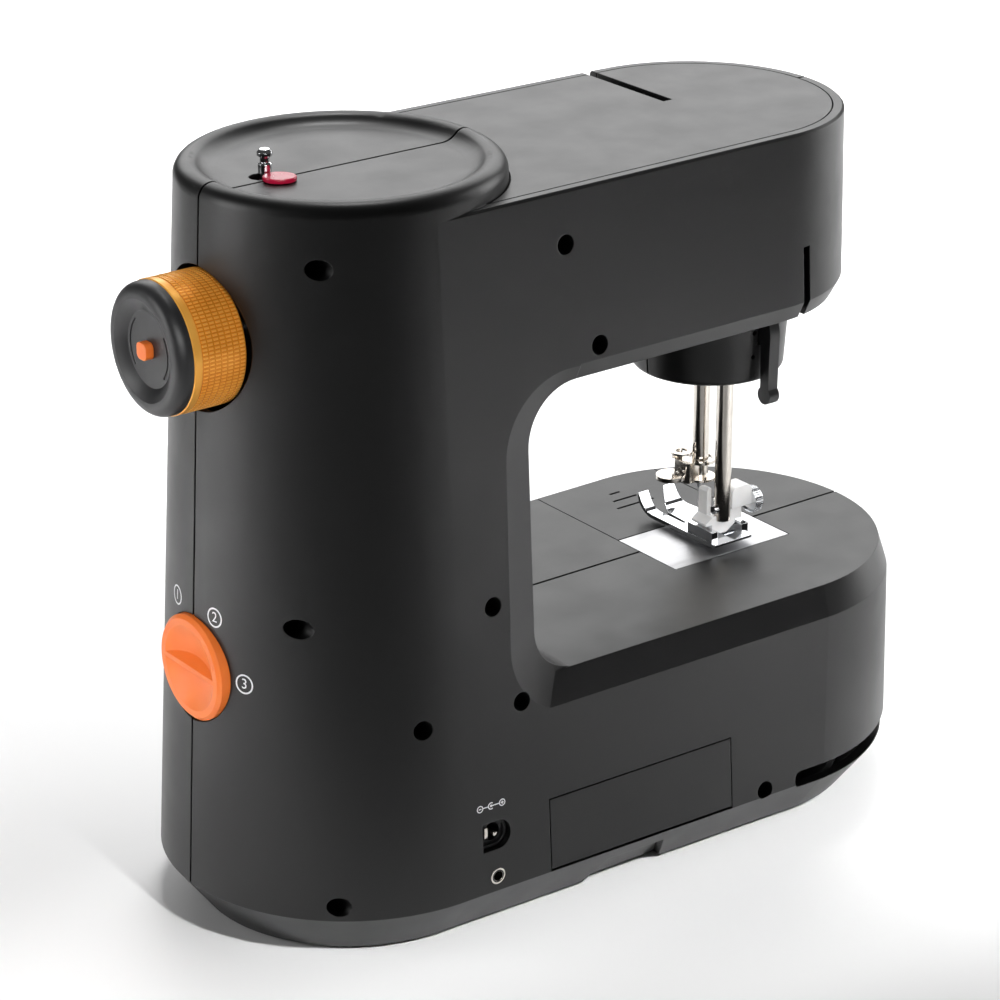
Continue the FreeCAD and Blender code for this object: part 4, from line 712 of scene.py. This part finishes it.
def studio_floor():
    shape = bmesh.new()
    bmesh.ops.create_circle(shape, cap_ends=True, radius=floor_radius, segments=floor_steps)
    mesh = bpy.data.meshes.new("studio_floor")
    shape.to_mesh(mesh)
    shape.free()
    mesh.materials.append(finishes["pale_floor"])
    floor = bpy.data.objects.new("studio_floor", mesh)
    bpy.context.scene.collection.objects.link(floor)
    return floor


def soft_light(name, place, target, size, power):
    # Softbox that faces a target.
    lamp = bpy.data.lights.new(name, "AREA")
    lamp.shape = "RECTANGLE"
    lamp.size = size[0]
    lamp.size_y = size[1]
    lamp.energy = power
    light = bpy.data.objects.new(name, lamp)
    light.location = place
    light.rotation_euler = (Vector(target) - Vector(place)).to_track_quat("-Z", "Y").to_euler()
    bpy.context.scene.collection.objects.link(light)
    return light


def floor_light(name, place, size, power, spread):
    # Light straight down on the floor, turned to stand square to the picture.
    light = soft_light(name, (*place, floor_light_height), (*place, 0.0), size, power)
    light.rotation_euler = (0.0, 0.0, -photo_turn)
    light.data.spread = math.radians(spread)


def light_reach(light, pieces, state):
    # Limits a light to some pieces, or keeps it off them.
    reach = bpy.data.collections.new(light.name + "_reach")
    for piece in pieces:
        reach.objects.link(piece)
    light.light_linking.receiver_collection = reach
    for member in reach.collection_objects:
        member.light_linking.link_state = state


def studio_light(floor):
    world = bpy.data.worlds.new("studio")
    bpy.context.scene.world = world
    world.use_nodes = True
    sky = world.node_tree.nodes["Background"]
    sky.inputs["Color"].default_value = (1.0, 1.0, 1.0, 1.0)
    sky.inputs["Strength"].default_value = sky_strength
    soft_light("backdrop_softbox", (-1.1, -1.5, 1.3), machine_upper, (2.6, 1.5), 33.0)
    soft_light("wheel_side_softbox", (1.5, -0.6, 0.45), machine_middle, (0.6, 1.0), 10.0)
    soft_light("needle_side_softbox", (-1.5, 0.2, 0.45), machine_middle, (0.6, 1.0), 9.0)
    fill = soft_light("camera_softbox", (0.7, 1.3, 0.9), machine_middle, (1.2, 0.6), 17.0)
    black_nodes = node_finishes["moulded_black"] + ["dc_socket", "presser_lever"]
    light_reach(fill, [floor] + [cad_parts[node] for node in black_nodes], "EXCLUDE")
    foot_fill = soft_light("foot_softbox", (-0.8, 0.6, 0.9), needle_middle, (1.0, 1.0), 8.0)
    light_reach(foot_fill, [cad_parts[node] for node in foot_nodes], "INCLUDE")
    floor_light("backdrop_floor_light", (-0.5, -0.65), (0.5, 0.5), 8.0, 60.0)
    floor_light("needle_side_floor_light", (-0.34, 0.42), (0.3, 0.3), 0.65, 16.0)
    floor_light("wheel_side_floor_light", (0.52, -0.25), (0.3, 0.3), 0.95, 16.0)
    near = soft_light("near_floor_light", (0.14, 1.2, 1.2), (0.14, 0.07, 0.0), (0.7, 0.12), 0.3)
    near.data.spread = near_light_spread
    light_reach(near, [floor], "INCLUDE")


def photo_camera():
    camera = bpy.data.cameras.new("photo_camera")
    camera.lens = photo_lens
    camera.sensor_width = sensor_width
    camera.clip_start = view_near
    camera.clip_end = view_far
    level = math.cos(photo_pitch)
    towards = Vector((math.sin(photo_turn) * level, math.cos(photo_turn) * level, math.sin(photo_pitch)))
    holder = bpy.data.objects.new("photo_camera", camera)
    holder.location = photo_target + towards * photo_distance
    holder.rotation_euler = towards.to_track_quat("Z", "Y").to_euler()
    bpy.context.scene.collection.objects.link(holder)
    bpy.context.scene.camera = holder


dress_nodes()
bright_pin()
knurled_ring()
ankle_screw_ridges()
seam_tongue()
inlet_collar()
inlet_contact()
inlet_pin()
jack_lining()
dial_marks()
polarity_mark()
studio_light(studio_floor())
photo_camera()
bpy.context.scene.view_settings.view_transform = "Standard"
